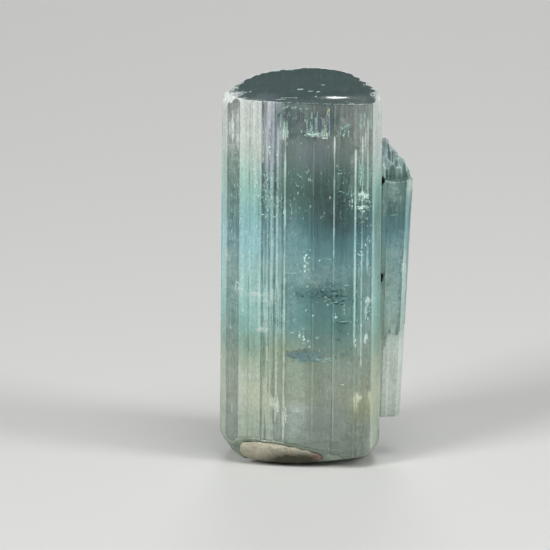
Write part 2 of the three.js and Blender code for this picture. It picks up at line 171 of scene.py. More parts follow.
prism = {
    "height": 30.12,
    "frontColumn": 0.06,                  # width of a column of faces
    "backColumn": 0.09,
    "frontLimit": -2.3,                   # columns are closer, and the front's marks show, below this y
    "frontFade": 0.5,
    "cornerGap": 0.015,
    "levels": 104,
    "edgeLevels": (0, 0.02, 0.05, 0.1, 0.17, 0.26, 0.38, 0.55),    # closer ones at both ends
    "evenLevels": 0.8,                    # even ones start this far in
    "ribs": 620,
    "ribWidth": (0.05, 0.4),
    "ribHeight": 0.022,
    "waver": (0.012, 1.3, 4),             # unevenness of the walls: strength, width, height
    "frostPatches": (0.2, 0.15, 3),
    "seed": 7,
    # the outline from above: corner x, corner y, stands proud, striation, frost
    "flats": [
        (6.33, -3.85, 0.02, 0.5, 1.0),
        (6.22, -3.0, 0.0, 0.8, 0.5),
        (5.92, -1.55, 0.06, 0.8, 0.2),
        (5.6, -0.35, 0.0, 1.0, 0.3),
        (5.15, 1.1, 0.07, 0.6, 0.1),
        (4.72, 2.5, 0.02, 1.0, 0.75),
        (4.2, 3.75, 0.08, 0.7, 0.2),
        (3.55, 4.9, 0.0, 1.0, 0.1),
        (2.6, 5.78, 0.05, 0.6, 0.4),
        (1.4, 6.2, 0.0, 0.9, 0.8),
        (-0.3, 6.2, 0.06, 0.6, 0.1),
        (-1.6, 5.75, 0.0, 1.0, 0.3),
        (-2.75, 4.95, 0.05, 0.6, 0.1),
        (-3.75, 3.85, 0.01, 1.0, 0.75),
        (-4.55, 2.6, 0.08, 0.6, 0.2),
        (-5.2, 1.25, 0.02, 0.8, 0.3),
        (-5.75, -0.2, 0.06, 0.8, 0.1),
        (-6.2, -1.4, 0.0, 1.0, 0.3),
        (-6.4, -2.4, 0.04, 0.6, 0.7),
        (-6.02, -3.4, 0.0, 0.9, 1.0),
        (-5.0, -4.32, -0.03, 1.0, 0.3),
        (-4.3, -4.62, 0.03, 0.6, 0.95),
        (-3.26, -4.98, 0.05, 0.9, 1.0),
        (-2.25, -5.27, -0.04, 1.0, 0.62),
        (-1.45, -5.48, 0.0, 0.9, 0.5),
        (2.45, -6.08, 0.0, 0.25, 0.0),
        (4.15, -6.14, -0.03, 0.5, 0.1),
        (5.0, -5.99, 0.0, 0.7, 0.3),
        (5.6, -5.8, 0.04, 0.8, 0.35),
    ],
    "frontWall": -3.5,                    # growth lines lie below this y
    "frontCorners": -3,                   # and the front wall's corners below this one
    "lineEdge": 0.03,
    "lineFade": 0.3,
    "lineStrength": 0.75,
    "lineBreaks": (0.35, 1, 0.7),
    "lineShine": 0.75,
    # growth lines on the front: x, width, height, paleness, from and to height
    "lines": [
        (-4.2, 0.1, -0.03, -0.5, 2, 30), (-3.15, 0.1, -0.04, -0.6, 3, 30),
        (-2.62, 0.08, -0.03, -0.5, 6, 28), (-1.95, 0.12, 0.03, 0.5, 4, 28),
        (-2.17, 0.12, -0.04, -0.8, 8, 26), (-1.56, 0.08, -0.03, -0.6, 9, 27),
        (-1.17, 0.1, -0.03, -0.6, 9, 23), (-1.36, 0.15, 0.06, 0.9, 1.5, 28.0),
        (2.54, 0.12, 0.05, 1.0, 17.5, 27.6), (2.54, 0.08, 0.03, 0.4, 4, 17.5),
        (0.9, 0.07, 0.02, 0.3, 22, 27), (-2.4, 0.07, 0.03, 0.5, 12, 24),
        (4.24, 0.13, 0.06, 0.9, 10.2, 26.5), (4.42, 0.08, -0.03, -0.6, 9, 22),
        (4.8, 0.08, 0.03, 0.6, 8, 27.5), (5.72, 0.11, 0.04, 0.8, 1, 29.6), (5.2, 0.07, 0.02, 0.4, 22, 29),
    ],
    "ledgeStep": 0.22,                    # width of its ragged teeth
    "ledgeSlope": 0.15,
    # steps where the wall above stands further in: height, depth, raggedness, where
    "ledges": [
        (7.5, 0.1, 0.25, lambda x, y: (x > 2) & (y > 2)),
        (13.8, 0.12, 0.25, lambda x, y: (x < -3.5) & (y > 0)),
        (20.5, 0.1, 0.25, lambda x, y: y > 4.5),
        (27.5, 0.07, 0.5, lambda x, y: (x > -1.5) & (x < 4.2) & (y < -5)),
    ],
    "footWear": (0.12, 0.8),              # worn edge of the break: height, how far in
    "undersideRings": (0.15, 0.3, 0.45, 0.55, 0.62, 0.68, 0.72, 0.76, 0.8, 0.84, 0.87, 0.9, 0.93,
                       0.96, 0.985),
    "rippleCentre": 8,                    # shell-shaped ripples of a chip: how far out they start
    "rippleHeight": 0.035,
    "ripples": 9,
    "rippleFade": 0.5,
    # chips out of the break: direction, distance from the middle, slope
    "breakChips": [
        ((-0.318, -0.948), 3.87, 1.16),
        ((0.5, -0.866), 4.0, 0.28),
        ((-0.954, -0.3), 5.12, 1.23),
        ((0.97, -0.24), 5.7, 1.3),
        ((0.5, 0.866), 5.3, 0.7),
        ((-0.8, 0.6), 5.2, 0.9),
    ],
    "topRings": (0.99, 0.98, 0.97, 0.96, 0.95, 0.935, 0.92, 0.905, 0.885, 0.865, 0.845, 0.82, 0.78,
                 0.74, 0.7, 0.65, 0.58, 0.5, 0.38, 0.22),
    "wornEdge": 0.03,                     # wear all along the top's rim
    "wornJag": 0.6,                       # how ragged the worn edge and the chips are
    "chipJag": 0.35,
    "jags": ((1, 0.13), (0.6, 0.4)),      # strength and size of the raggedness
    "rimWear": (1.2, 0.85),               # how far down and in the wear reaches on the walls
    "topWear": (1.3, 0.45),               # the same on the top
    "crumbEdge": 0.05,
    "crumbFrost": (0.9, 0.6),             # etched look of worn places on the walls and on the top
    "polishedBelow": 0.5,                 # the top is polished where it is less etched than this
    # crumbled places on the top's rim: x, y, reach, depth
    "rimChips": [
        (-6.4, -2.7, 1.2, 0.65), (-6.0, -0.9, 1.0, 0.28), (-5.3, 1.0, 0.8, 0.13), (-5.0, -4.3, 0.3, 0.16),
        (6.3, -3.9, 0.8, 0.35), (6.2, -2.6, 0.6, 0.3), (5.75, -0.9, 0.35, 0.13), (5.4, 0.4, 0.4, 0.15),
        (4.9, 1.9, 0.35, 0.12), (4.3, 3.5, 0.4, 0.08), (-0.6, 6.2, 0.5, 0.1), (-4.4, 2.9, 0.3, 0.06),
    ],
    # growth terraces on the top: share of the way to the rim, rise
    "terraces": [(0.96, 0.006), (0.91, 0.005), (0.85, 0.006)],
    "terraceSlope": 0.035,
    "terraceWander": ((0.012, 1.5), (0.004, 0.3)),
    # a low swelling on the top: x, y, half width, half depth, height
    "swelling": (2.7, -3.4, 1.5, 0.65, 0.085),
    "swellingFade": (0.99, 0.1),
    # marks on the walls that aren't the front: strength, width as an angle, height
    "sides": {"tone": (0.5, 0.35, 2.2), "flecks": (0.3, 0.4, 3), "films": (0.45, 0.3, 1.6)},
    "linedFrom": (6, 4),                  # streaks grow from this height, over this much
    "linedLeast": 0.5,
    # uneven tone inside, seen on the front: x, z, half width, half height, paler or deeper
    "tone": [
        (-2.7, 13.1, 1.5, 1.7, 0.5), (-2.45, 14.0, 0.8, 9.0, 0.25), (-4.2, 6.4, 0.9, 1.8, 0.4),
        (-3.2, 6.0, 0.9, 2.2, 0.3), (-2.0, 2.8, 1.0, 1.6, 0.2), (-0.3, 3.5, 1.0, 1.6, 0.45),
        (4.7, 27.0, 0.8, 3.2, 0.35), (1.2, 16.2, 3.0, 0.8, 0.3), (4.9, 11.5, 0.6, 3.6, 0.4),
        (3.5, 8.0, 1.2, 1.2, 0.35), (5.0, 5.6, 0.9, 0.6, 0.6), (-0.3, 19.5, 1.0, 1.5, 0.2),
        (-5.3, 28.0, 0.6, 2.4, 0.6), (-5.3, 23.0, 0.6, 3.0, 0.3), (-5.4, 9.5, 0.65, 9.0, 0.7),
        (-6.2, 23.0, 0.35, 7.0, 0.9), (-6.2, 9.0, 0.35, 6.0, 0.5), (-0.2, 4.85, 0.6, 0.4, 0.6),
        (-1.3, 29.2, 1.0, 0.9, -0.6), (1.2, 28.8, 1.6, 0.9, -0.4), (0.2, 26.4, 2.0, 1.8, -0.3),
        (2.2, 22.0, 1.7, 3.2, -0.8), (3.0, 20.6, 0.55, 1.6, -0.7), (2.0, 14.4, 1.9, 0.6, -0.15),
        (3.2, 18.2, 0.6, 1.2, -0.4), (3.1, 11.6, 0.8, 1.1, -0.5), (3.7, 20.8, 0.5, 1.6, -0.3),
        # the spot at x -5.4, z 1.2 is painted shade in the chipped hollow at the lower left
        (-5.4, 1.2, 0.5, 0.5, -0.9), (-2.6, 22.0, 0.7, 1.6, -0.2), (-0.2, 9.3, 1.4, 0.3, -0.3),
        (4.9, 20.0, 0.6, 0.9, -0.5), (6.05, 17.5, 0.35, 4.5, -0.6), (6.27, 2.5, 0.12, 1.6, -0.7),
        (-4.3, 9.6, 1.3, 1.2, -0.3), (-2.0, 1.2, 3.5, 0.6, -0.3), (-5.6, 27.0, 0.8, 1.5, 0.6),
        (-4.0, 27.3, 0.8, 1.3, 0.4), (-3.0, 26.8, 0.3, 1.0, 0.8), (-3.0, 22.8, 0.35, 1.8, -0.3),
        (-1.9, 28.3, 0.35, 1.1, -0.3), (-1.9, 18.0, 0.4, 3.4, 0.35), (-1.9, 2.6, 0.4, 0.7, 0.4),
        (-0.8, 28.2, 0.5, 1.1, -0.3), (-0.7, 16.5, 0.6, 4.6, 0.25), (-0.7, 3.8, 0.7, 1.6, 0.35),
        (0.6, 23.3, 1.0, 0.9, -0.25), (0.7, 15.2, 1.0, 0.4, 0.35), (1.0, 7.4, 1.5, 2.4, 0.22),
        (3.2, 28.7, 0.5, 0.5, 0.3), (3.2, 7.6, 0.8, 2.4, 0.22), (4.9, 20.6, 0.7, 0.6, -0.35),
        (4.9, 10.6, 0.6, 1.2, 0.35), (4.9, 6.4, 0.6, 0.8, 0.4), (5.95, 24.8, 0.3, 1.2, 0.4),
        (6.05, 20.4, 0.28, 2.4, -0.7), (6.2, 12.0, 0.12, 8.0, -0.5), (5.55, 2.7, 0.22, 1.4, 0.7),
        (6.0, 2.7, 0.2, 1.5, 0.35), (6.34, 5.6, 0.1, 2.0, 1.4), (-5.2, 7.4, 0.5, 1.6, 0.4),
        (-3.1, 27.6, 0.35, 0.9, 0.4), (-2.05, 28.3, 0.3, 1.7, -0.5), (-2.05, 24.2, 0.3, 1.5, -0.45),
        (-1.0, 28.3, 0.4, 1.5, -0.3), (0.3, 27.4, 0.5, 0.6, -0.3), (-6.3, 27.6, 0.35, 1.6, 0.5),
        (-5.85, 16.6, 0.3, 1.4, 0.4), (-5.5, 4.4, 0.7, 2.2, 0.55), (2.95, 7.0, 0.9, 4.0, 0.15),
        (4.55, 8.5, 0.6, 3.0, 0.3), (5.85, 20.3, 0.3, 0.6, -0.4), (-1.9, 3.3, 0.6, 1.0, 0.35),
        (3.4, 20.2, 0.6, 0.9, -0.5), (4.7, 19.4, 0.6, 0.9, -0.3), (0.0, 1.6, 1.4, 0.3, 0.6),
        (-2.9, 16.4, 0.4, 0.7, 0.3), (-2.2, 13.15, 1.4, 0.2, -0.35), (-3.2, 14.05, 1.2, 0.3, 0.2),
        (-3.0, 12.1, 0.9, 0.5, 0.25), (1.7, 14.25, 1.9, 0.4, -0.25), (3.95, 23.4, 0.2, 2.8, 0.6),
        (-3.4, 28.4, 0.5, 1.6, 0.45), (-5.3, 15.8, 0.3, 1.6, 0.5), (-4.8, 11.6, 0.3, 1.2, -0.45),
        (5.4, 11.2, 0.25, 2.0, 0.6), (0.4, 4.9, 0.7, 0.35, 0.35), (4.0, 5.9, 0.3, 0.5, 0.4),
        (2.9, 4.6, 1.0, 0.8, 0.25), (5.35, 15.2, 0.25, 0.8, 0.4), (3.0, 20.4, 0.6, 0.9, -0.4),
    ],
    # crisp ragged films: x, z, half width, half height, how closely bright or dark ones lie
    "films": [
        (4.75, 22.7, 0.6, 0.36, 0.5), (4.65, 21.5, 0.7, 0.2, 0.5), (4.2, 21.9, 0.5, 0.5, 0.3),
        (5.1, 10.7, 0.13, 0.4, 0.8), (5.15, 13.0, 0.2, 0.8, 0.5), (5.5, 14.0, 0.5, 0.3, 0.8),
        (-5.0, 14.5, 0.45, 0.3, 0.6), (-3.6, 14.2, 1.2, 0.3, 0.5), (-3.2, 11.3, 0.7, 0.3, 0.55),
        (-2.3, 12.8, 1.2, 1.8, 0.35), (-2.3, 5.3, 0.25, 0.5, 0.7), (-1.85, 4.9, 0.2, 0.5, 0.6),
        (2.8, 12.5, 0.2, 0.16, 0.8), (0.3, 10.9, 0.5, 0.8, 0.35), (-5.4, 4.6, 0.6, 2.6, 0.22),
        (0.4, 17.1, 0.3, 0.9, 0.3), (-2.5, 21.8, 0.75, 2.6, 0.32), (5.3, 17.6, 0.3, 2.2, 0.35),
        (-5.3, 21.0, 0.5, 6.0, 0.25), (1.0, 27.55, 0.9, 0.18, 0.65), (3.2, 27.9, 0.5, 0.4, 0.6),
        (-1.4, 27.6, 0.3, 0.8, 0.6), (1.65, 28.4, 0.12, 1.1, 0.9), (0.9, 28.3, 0.1, 1.0, 0.7),
        (0.35, 28.0, 0.1, 0.8, 0.6), (4.9, 27.3, 0.5, 2.6, 0.3), (-5.4, 27.6, 0.6, 1.8, 0.5),
        (1.4, 16.0, 1.6, 0.4, 0.15), (1.7, 14.3, 2.3, 0.6, -0.5), (3.1, 12.0, 0.8, 0.9, -0.4),
        (-0.6, 13.6, 0.8, 1.2, -0.3), (-1.2, 29.2, 1.0, 0.9, -0.6), (1.2, 29.0, 1.6, 0.8, -0.45),
        (2.6, 28.6, 0.8, 1.2, -0.45), (-2.4, 19.6, 0.8, 1.6, -0.35), (2.9, 22.0, 0.8, 2.0, -0.35),
        (2.9, 20.4, 0.8, 1.0, -0.5), (3.1, 22.9, 0.6, 0.9, -0.35), (1.6, 5.4, 0.35, 0.5, -0.4),
        (2.4, 5.3, 0.5, 0.4, -0.4), (-5.5, 22.0, 0.5, 3.6, -0.3), (4.8, 5.95, 1.0, 0.7, 0.6),
        (4.4, 5.0, 0.25, 0.9, 0.4), (-0.2, 4.75, 0.5, 0.22, 1.0),
    ],
    # uneven hue on the front: x, z, half width, half height, lilac above zero and straw below
    "hue": [
        (-2.6, 27.0, 0.75, 3.2, 0.9), (-3.0, 19.0, 0.5, 1.5, 0.1), (0.8, 26.0, 1.6, 1.4, 0.35),
        (4.9, 5.4, 1.0, 1.5, -0.9), (-1.5, 9.6, 1.4, 1.0, -0.5), (-3.3, 5.8, 1.2, 1.4, -0.3),
        (1.5, 3.8, 2.5, 1.5, 0.2), (6.1, 19.5, 0.25, 3.0, -0.35), (6.2, 12.0, 0.12, 7.0, -0.25),
        (5.95, 25.5, 0.4, 2.4, 0.25),
    ],
    # how thickly small bright flecks lie, whitish etch pits and chips painted brighter as painted sparkle:
    # x, z, half width, half height, share
    "flecks": [
        (-2.6, 22.0, 0.8, 2.6, 0.45), (-3.8, 24.0, 0.5, 1.6, 0.2), (4.7, 22.0, 0.8, 1.6, 0.25),
        (0.6, 23.0, 2.0, 2.4, 0.18), (5.2, 17.5, 0.5, 2.5, 0.3), (0.3, 17.0, 0.5, 0.8, 0.5),
        (0.4, 28.2, 1.8, 1.2, 0.1), (-1.0, 28.8, 0.8, 1.2, 0.15), (0.4, 10.7, 0.8, 0.9, 0.45),
        (1.2, 14.6, 2.2, 0.6, 0.35), (4.0, 12.5, 1.2, 2.0, 0.25), (-5.4, 27.0, 0.5, 3.0, 0.3),
        (-5.0, 18.0, 0.5, 4.0, 0.2),
    ],
}


def breakHeight(x, y):
    # the underside: flat in the middle, with rippled shell-shaped chips along its edge
    height = np.zeros_like(x)
    for (towardsX, towardsY), inset, slope in prism["breakChips"]:
        reach = towardsX * x + towardsY * y - inset
        strike = np.hypot(x - towardsX * prism["rippleCentre"], y - towardsY * prism["rippleCentre"])
        ripple = prism["rippleHeight"] * np.sin(strike * prism["ripples"])
        ripple = ripple * smoothStep(reach / prism["rippleFade"])
        height = np.maximum(height, reach * slope + ripple)
    return height


def frontDepth(x):
    # where the front wall stands at each x
    corners = sorted(flat[:2] for flat in prism["flats"] if flat[1] < prism["frontCorners"])
    return np.interp(x, *np.array(corners).T)


def rimWear(draws, x, y, arc):
    # how far the top's rim has worn or crumbled away
    wear = np.zeros_like(x)
    for chipX, chipY, reach, depth in prism["rimChips"]:
        share = np.hypot(x - chipX, y - chipY) / reach
        wear = np.maximum(wear, depth * np.exp(-share * share))
    jagged = sum(unevenness(draws, arc, 0 * arc, *jag) for jag in prism["jags"])
    return prism["wornEdge"] * (1 + prism["wornJag"] * jagged) + wear * (1 + prism["chipJag"] * jagged)


def growTop(draws, arc, rimX, rimY, rimTop, wear):
    # rings over the top, with terraces, a low swelling and the chips of the rim
    wander = sum(unevenness(draws, arc, 0 * arc, *waver) for waver in prism["terraceWander"])
    swellX, swellY, wide, deep, high = prism["swelling"]
    swellEnd, swellFade = prism["swellingFade"]
    worn, slope = prism["topWear"]
    rings = []
    frosts = []
    for share in prism["topRings"]:
        x, y = rimX * share, rimY * share
        z = np.full_like(x, rimTop)
        for terrace, rise in prism["terraces"]:
            z += rise * smoothStep((terrace + wander - share) / prism["terraceSlope"] + 0.5)
        away = ((x - swellX) / wide) ** 2 + ((y - swellY) / deep) ** 2
        z += high * np.exp(-away) * smoothStep((swellEnd - share) / swellFade)
        chipped = worn * wear - (1 - share) * np.hypot(rimX, rimY)
        z -= slope * np.clip(chipped, 0, 1)
        rings.append(np.stack([x, y, z], 1))
        frosts.append(prism["crumbFrost"][1] * smoothStep(chipped / prism["crumbEdge"]))
    return rings, np.concatenate([*frosts, [0]])


def markPrism(draws, points, topPoints, frost, lined, shine):
    # what the material reads: etching, tone, films, flecks, hue, streaks and which skin it is
    x, y, z = points.T
    front = smoothStep((prism["frontLimit"] - y) / prism["frontFade"])
    marks = {mark: spotStrength(prism[mark], points) * front for mark in ("tone", "films", "flecks", "hue")}
    marks["frost"] = np.clip(frost, 0, 1)
    kind = np.full(len(points), prismSkin)
    polished = marks["frost"][-topPoints:] < prism["polishedBelow"]
    kind[-topPoints:] = np.where(polished, topSkin, prismSkin)
    sides = (1 - front) * (kind == prismSkin)
    for mark, (strength, wide, tall) in prism["sides"].items():
        patches = softNoise(draws, np.arctan2(y, x), z, wide, tall)
        if mark == "flecks":
            patches = smoothStep(patches)    # none at all between their patches
        marks[mark] += sides * strength * patches
    low, rise = prism["linedFrom"]
    least = prism["linedLeast"]
    lined = lined * (least + (1 - least) * smoothStep((z - low) / rise))
    marks.update(lined=lined, shine=np.clip(shine, 0, 1), skin=kind)
    return boundMarks(marks)


def growPrism():
    columns, arc = walkOutline(prism)
    x, y, outX, outY, striation, frost = columns.T
    draws = np.random.default_rng(prism["seed"] + 1)
    foot = breakHeight(x, y)
    wear = rimWear(draws, x, y, arc)
    edge = np.array(prism["edgeLevels"])
    top = prism["height"]
    rimTop = top - sum(rise for share, rise in prism["terraces"])
    even = np.linspace(prism["evenLevels"], top - prism["evenLevels"], prism["levels"])
    levels = np.concatenate([edge, even, top - edge[::-1]])
    heights = foot + levels[:, None] * (rimTop - foot) / top
    belowRim = rimTop - heights
    relief = ribRelief(arc, heights, striation, prism)
    skin = np.broadcast_to(frost, heights.shape) + unevenness(draws, arc, heights, *prism["frostPatches"])
    shine = np.zeros_like(heights)
    onFront = y < prism["frontWall"]
    for place, width, height, paleness, low, high in prism["lines"]:
        beside = smoothStep((width / 2 - np.abs(x - place)) / prism["lineEdge"] + 0.5) * onFront
        broken = prism["lineStrength"] + unevenness(draws, 0 * arc, heights, *prism["lineBreaks"])
        upright = between(heights, low, high, prism["lineFade"])
        relief += height * beside
        skin = skin + paleness * beside * upright * broken
        shine += prism["lineShine"] * max(paleness, 0) * beside * upright * broken
    relief += unevenness(draws, arc, heights, *prism["waver"])
    inward = np.zeros_like(heights)
    for ledge, depth, ragged, covers in prism["ledges"]:
        step = ledge + unevenness(draws, arc, 0 * arc, ragged, prism["ledgeStep"])
        inward += depth * covers(x, y) * smoothStep((heights - step) / prism["ledgeSlope"])
    worn, slope = prism["footWear"]
    inward += np.clip(worn - (heights - foot), 0, 1) * slope
    worn, slope = prism["rimWear"]
    inward += np.clip(wear * worn - belowRim, 0, 1) * slope
    crumbled = smoothStep((wear * prism["topWear"][0] - belowRim) / prism["crumbEdge"])
    skin = np.maximum(skin, prism["crumbFrost"][0] * crumbled)
    share = 1 - inward / np.hypot(x, y)
    wallX = (x + outX * relief) * share
    wallY = (y + outY * relief) * share
    rings = [np.column_stack([x * share, y * share, breakHeight(x * share, y * share)])
             for share in prism["undersideRings"]]
    underPoints = len(rings) * len(x) + 1
    rings += [np.stack(row, 1) for row in zip(wallX, wallY, heights)]
    topRings, topFrost = growTop(draws, arc, wallX[-1], wallY[-1], rimTop, wear)
    rings += topRings
    points, faces = skinOver(rings, (0, 0, 0), (0, 0, rings[-1][:, 2].mean()))
    marks = markPrism(draws, points, len(topFrost),
                      np.concatenate([np.ones(underPoints), skin.ravel(), topFrost]),
                      np.concatenate([[0], np.tile(striation, len(rings)), [0]]),
                      np.concatenate([np.zeros(underPoints), shine.ravel(), 0 * topFrost]))
    return makePiece("tourmaline_prism", points, faces, marks)


crystal = growPrism()
print("prism grown:", countTriangles(crystal.data), "triangles")


sideCrystal = {
    "foot": 3.4,
    "shoulder": 23.1,
    "tipSlope": -0.1,
    "tipSag": (0.2, 7.7, 0.8),            # the hollow of its front edge: depth, x, half width
    "footScale": 0.75,                    # it widens upwards
    "anchor": (5.3, -1.2),                # away from this point
    "frontColumn": 0.065,
    "backColumn": 0.075,
    "frontLimit": -1.0,                   # columns are closer below this y
    "cornerGap": 0.03,
    "levels": 60,
    "edgeLevels": (0, 0.0015, 0.004, 0.008, 0.014, 0.0225),    # closer ones at both ends
    "evenLevels": 0.03,                   # even ones start this far in
    "footRings": (0.3, 0.6, 0.85, 0.95),
    "tipRings": (0.97, 0.05, 24),         # from, to, how many
    "ribs": 90,
    "ribWidth": (0.05, 0.3),
    "ribHeight": 0.02,
    "footWear": (0.1, 0.8),               # worn edges: height, how far in
    "tipWear": (0.14, 0.8),
    "frostPatches": (0.2, 0.15, 1.5),     # strength, width, height
    "tipFrost": (0.35, 0.25, 0.2),        # etched look of the tip, of its lumps, and their height
    "peakFrost": 0.5,
    "lined": 0.5,
    "shineLimit": 1.4,
    "seed": 21,
    # the outline from above: corner x, corner y, stands proud, striation, frost
    "flats": [
        (8.72, -2.2, 0.0, 0.5, 0.7),
        (8.87, -1.2, 0.03, 0.8, 0.35),
        (8.62, -0.2, 0.0, 0.8, 0.1),
        (8.0, 0.65, 0.04, 0.8, 0.4),
        (7.1, 1.05, 0.0, 0.8, 0.1),
        (5.9, 0.95, 0.03, 0.5, 0.3),
        (5.3, 0.0, 0.0, 0.2, 0.1),
        (5.35, -1.6, 0.0, 0.2, 0.1),
        (6.0, -2.5, 0.0, 0.2, 0.3),
        (6.46, -2.9, 0.0, 0.5, 1.0),
        (6.86, -3.0, 0.0, 0.6, 0.85),
        (7.4, -2.99, 0.03, 0.4, 0.2),
        (8.42, -2.9, 0.0, 0.4, 0.25),
    ],
    # glassy lumps on the broken tip: x, y, reach, top
    "lumps": [
        (6.5, -0.5, 0.55, 26.0), (6.0, -0.2, 0.6, 26.0), (6.9, -0.3, 0.5, 25.35), (6.35, -1.5, 0.5, 24.9),
        (6.8, -1.1, 0.45, 24.4), (7.5, -0.4, 0.5, 24.5), (7.98, -0.3, 0.36, 23.75),
        (8.3, -0.6, 0.3, 23.3),
    ],
    "lumpDrop": 1.0,                      # from its top to its edge
    "lumpSunk": 0.2,
    "shards": 90,                         # small pointed splinters on the lumps
    "shardPlace": (0.1, 0.9),             # share of the way to a lump's edge
    "shardReach": (0.16, 0.36),
    "shardRise": (-0.1, 0.14),
    "shardTurn": (0, 3),
    "shardSlope": 1.6,
    "shardSides": (0, 2.1, 4.2),
    "shardBlunt": 0.12,
    # the etched cream foot: its upper edge at each x
    "creamX": (6.2, 6.4, 6.7, 7.0, 7.44, 8.1, 8.4),
    "creamZ": (7.4, 8.3, 9.1, 9.6, 9.95, 10.4, 10.8),
    "creamEdge": (0.25, 0.3, 0.5),        # raggedness: strength, width, height
    # marks, as on the prism, and "shine", which whitens its etched cream foot; near x 6.4 to 6.6 the tone
    # and shine spots are painted light on the strip beside the seam, which the prism shades
    "tone": [
        (7.4, 19.3, 1.0, 0.9, -0.3), (8.25, 15.5, 0.15, 2.2, 0.9), (7.2, 13.0, 1.2, 3.6, 0.8),
        (7.8, 9.6, 0.9, 1.8, 1.0), (7.09, 10.54, 0.13, 0.13, -3.0), (6.75, 20.9, 0.12, 0.5, 0.9),
        (7.2, 6.6, 1.2, 1.2, 0.5), (7.3, 17.0, 0.8, 0.6, 0.4), (8.6, 22.6, 0.2, 0.6, 1.0),
        (7.0, 22.2, 1.4, 0.9, 0.5), (7.0, 10.6, 0.5, 1.6, 0.4), (7.2, 5.2, 1.2, 2.2, 0.7),
        # the tone spots at x 6.45 and 6.6 below are painted light on the strip beside the seam, which the
        # prism shades
        (7.85, 12.8, 0.3, 1.6, 0.8), (6.45, 10.0, 0.25, 4.5, 0.9), (7.6, 10.4, 0.8, 1.0, 0.5),
        (7.0, 18.6, 0.9, 0.8, -0.2), (6.9, 25.2, 1.3, 0.8, -0.2), (7.3, 23.4, 1.0, 0.5, 0.45),
        (6.6, 5.4, 0.45, 2.8, 0.5),
    ],
    "shine": [
        # the shine spots at x 6.4 to 6.6 are painted light on the strip beside the seam, which the prism
        # shades
        (7.8, 9.2, 0.9, 1.5, 1.2), (7.2, 6.2, 1.2, 2.4, 1.0), (6.4, 9.5, 0.25, 3.6, 0.8),
        (6.6, 5.4, 0.4, 2.6, 0.8), (6.9, 9.4, 0.4, 0.9, 0.6), (8.75, 22.5, 0.25, 0.5, 1.0),
        (6.5, 21.0, 0.15, 1.8, 0.7), (6.5, 17.5, 0.15, 1.2, 0.4),
    ],
    "hue": [
        (6.9, 24.8, 1.3, 1.3, 0.5), (6.6, 14.0, 0.3, 3.0, -0.3),
    ],
    "films": [
        (6.6, 20.6, 0.12, 0.6, 0.7), (7.9, 21.0, 0.2, 0.5, 0.5), (7.4, 22.0, 0.5, 0.3, 0.4),
        (8.1, 15.8, 0.2, 1.8, 0.55), (6.9, 13.5, 0.5, 1.4, 0.35), (7.2, 18.9, 0.6, 0.15, 0.4),
        (6.9, 24.3, 1.2, 1.0, 0.3),
    ],
    "flecks": [
        (7.4, 21.5, 0.8, 1.0, 0.3), (8.1, 15.5, 0.4, 2.5, 0.4), (6.9, 25.0, 0.9, 1.0, 0.45),
    ],
}


def makeShards():
    # splinters, each: x, y, reach, top, turn
    draws = np.random.default_rng(sideCrystal["seed"] + 3)
    shards = []
    for number in range(sideCrystal["shards"]):
        lumpX, lumpY, reach, top = sideCrystal["lumps"][draws.integers(len(sideCrystal["lumps"]))]
        turn = draws.uniform(0, 2 * math.pi)
        away = reach * draws.uniform(*sideCrystal["shardPlace"])
        height = top - sideCrystal["lumpDrop"] * (away / reach) ** 3
        height += draws.uniform(*sideCrystal["shardRise"])
        place = (lumpX + away * math.cos(turn), lumpY + away * math.sin(turn))
        shards.append((*place, draws.uniform(*sideCrystal["shardReach"]), height,
                       draws.uniform(*sideCrystal["shardTurn"])))
    return shards


shards = makeShards()


def tipHeight(x, y):
    # the broken tip: a sagging slope with lumps and splinters on it
    shoulder = sideCrystal["shoulder"]
    height = shoulder + sideCrystal["tipSlope"] * (y - sideCrystal["flats"][-1][1])
    sag, sagX, sagWide = sideCrystal["tipSag"]
    height = height - sag * np.exp(-((x - sagX) / sagWide) ** 2)
    for lumpX, lumpY, reach, top in sideCrystal["lumps"]:
        share = np.hypot(x - lumpX, y - lumpY) / reach
        height = np.maximum(height, top - sideCrystal["lumpSunk"] - sideCrystal["lumpDrop"] * share ** 3)
    for shardX, shardY, reach, top, turn in shards:
        # a three-sided splinter
        steep = np.max([np.cos(turn + side) * (x - shardX) + np.sin(turn + side) * (y - shardY)
                        for side in sideCrystal["shardSides"]], axis=0) / reach
        splinter = top - sideCrystal["shardSlope"] * reach * np.maximum(steep, sideCrystal["shardBlunt"])
        height = np.where(steep < 1, np.maximum(height, splinter), height)
    return height


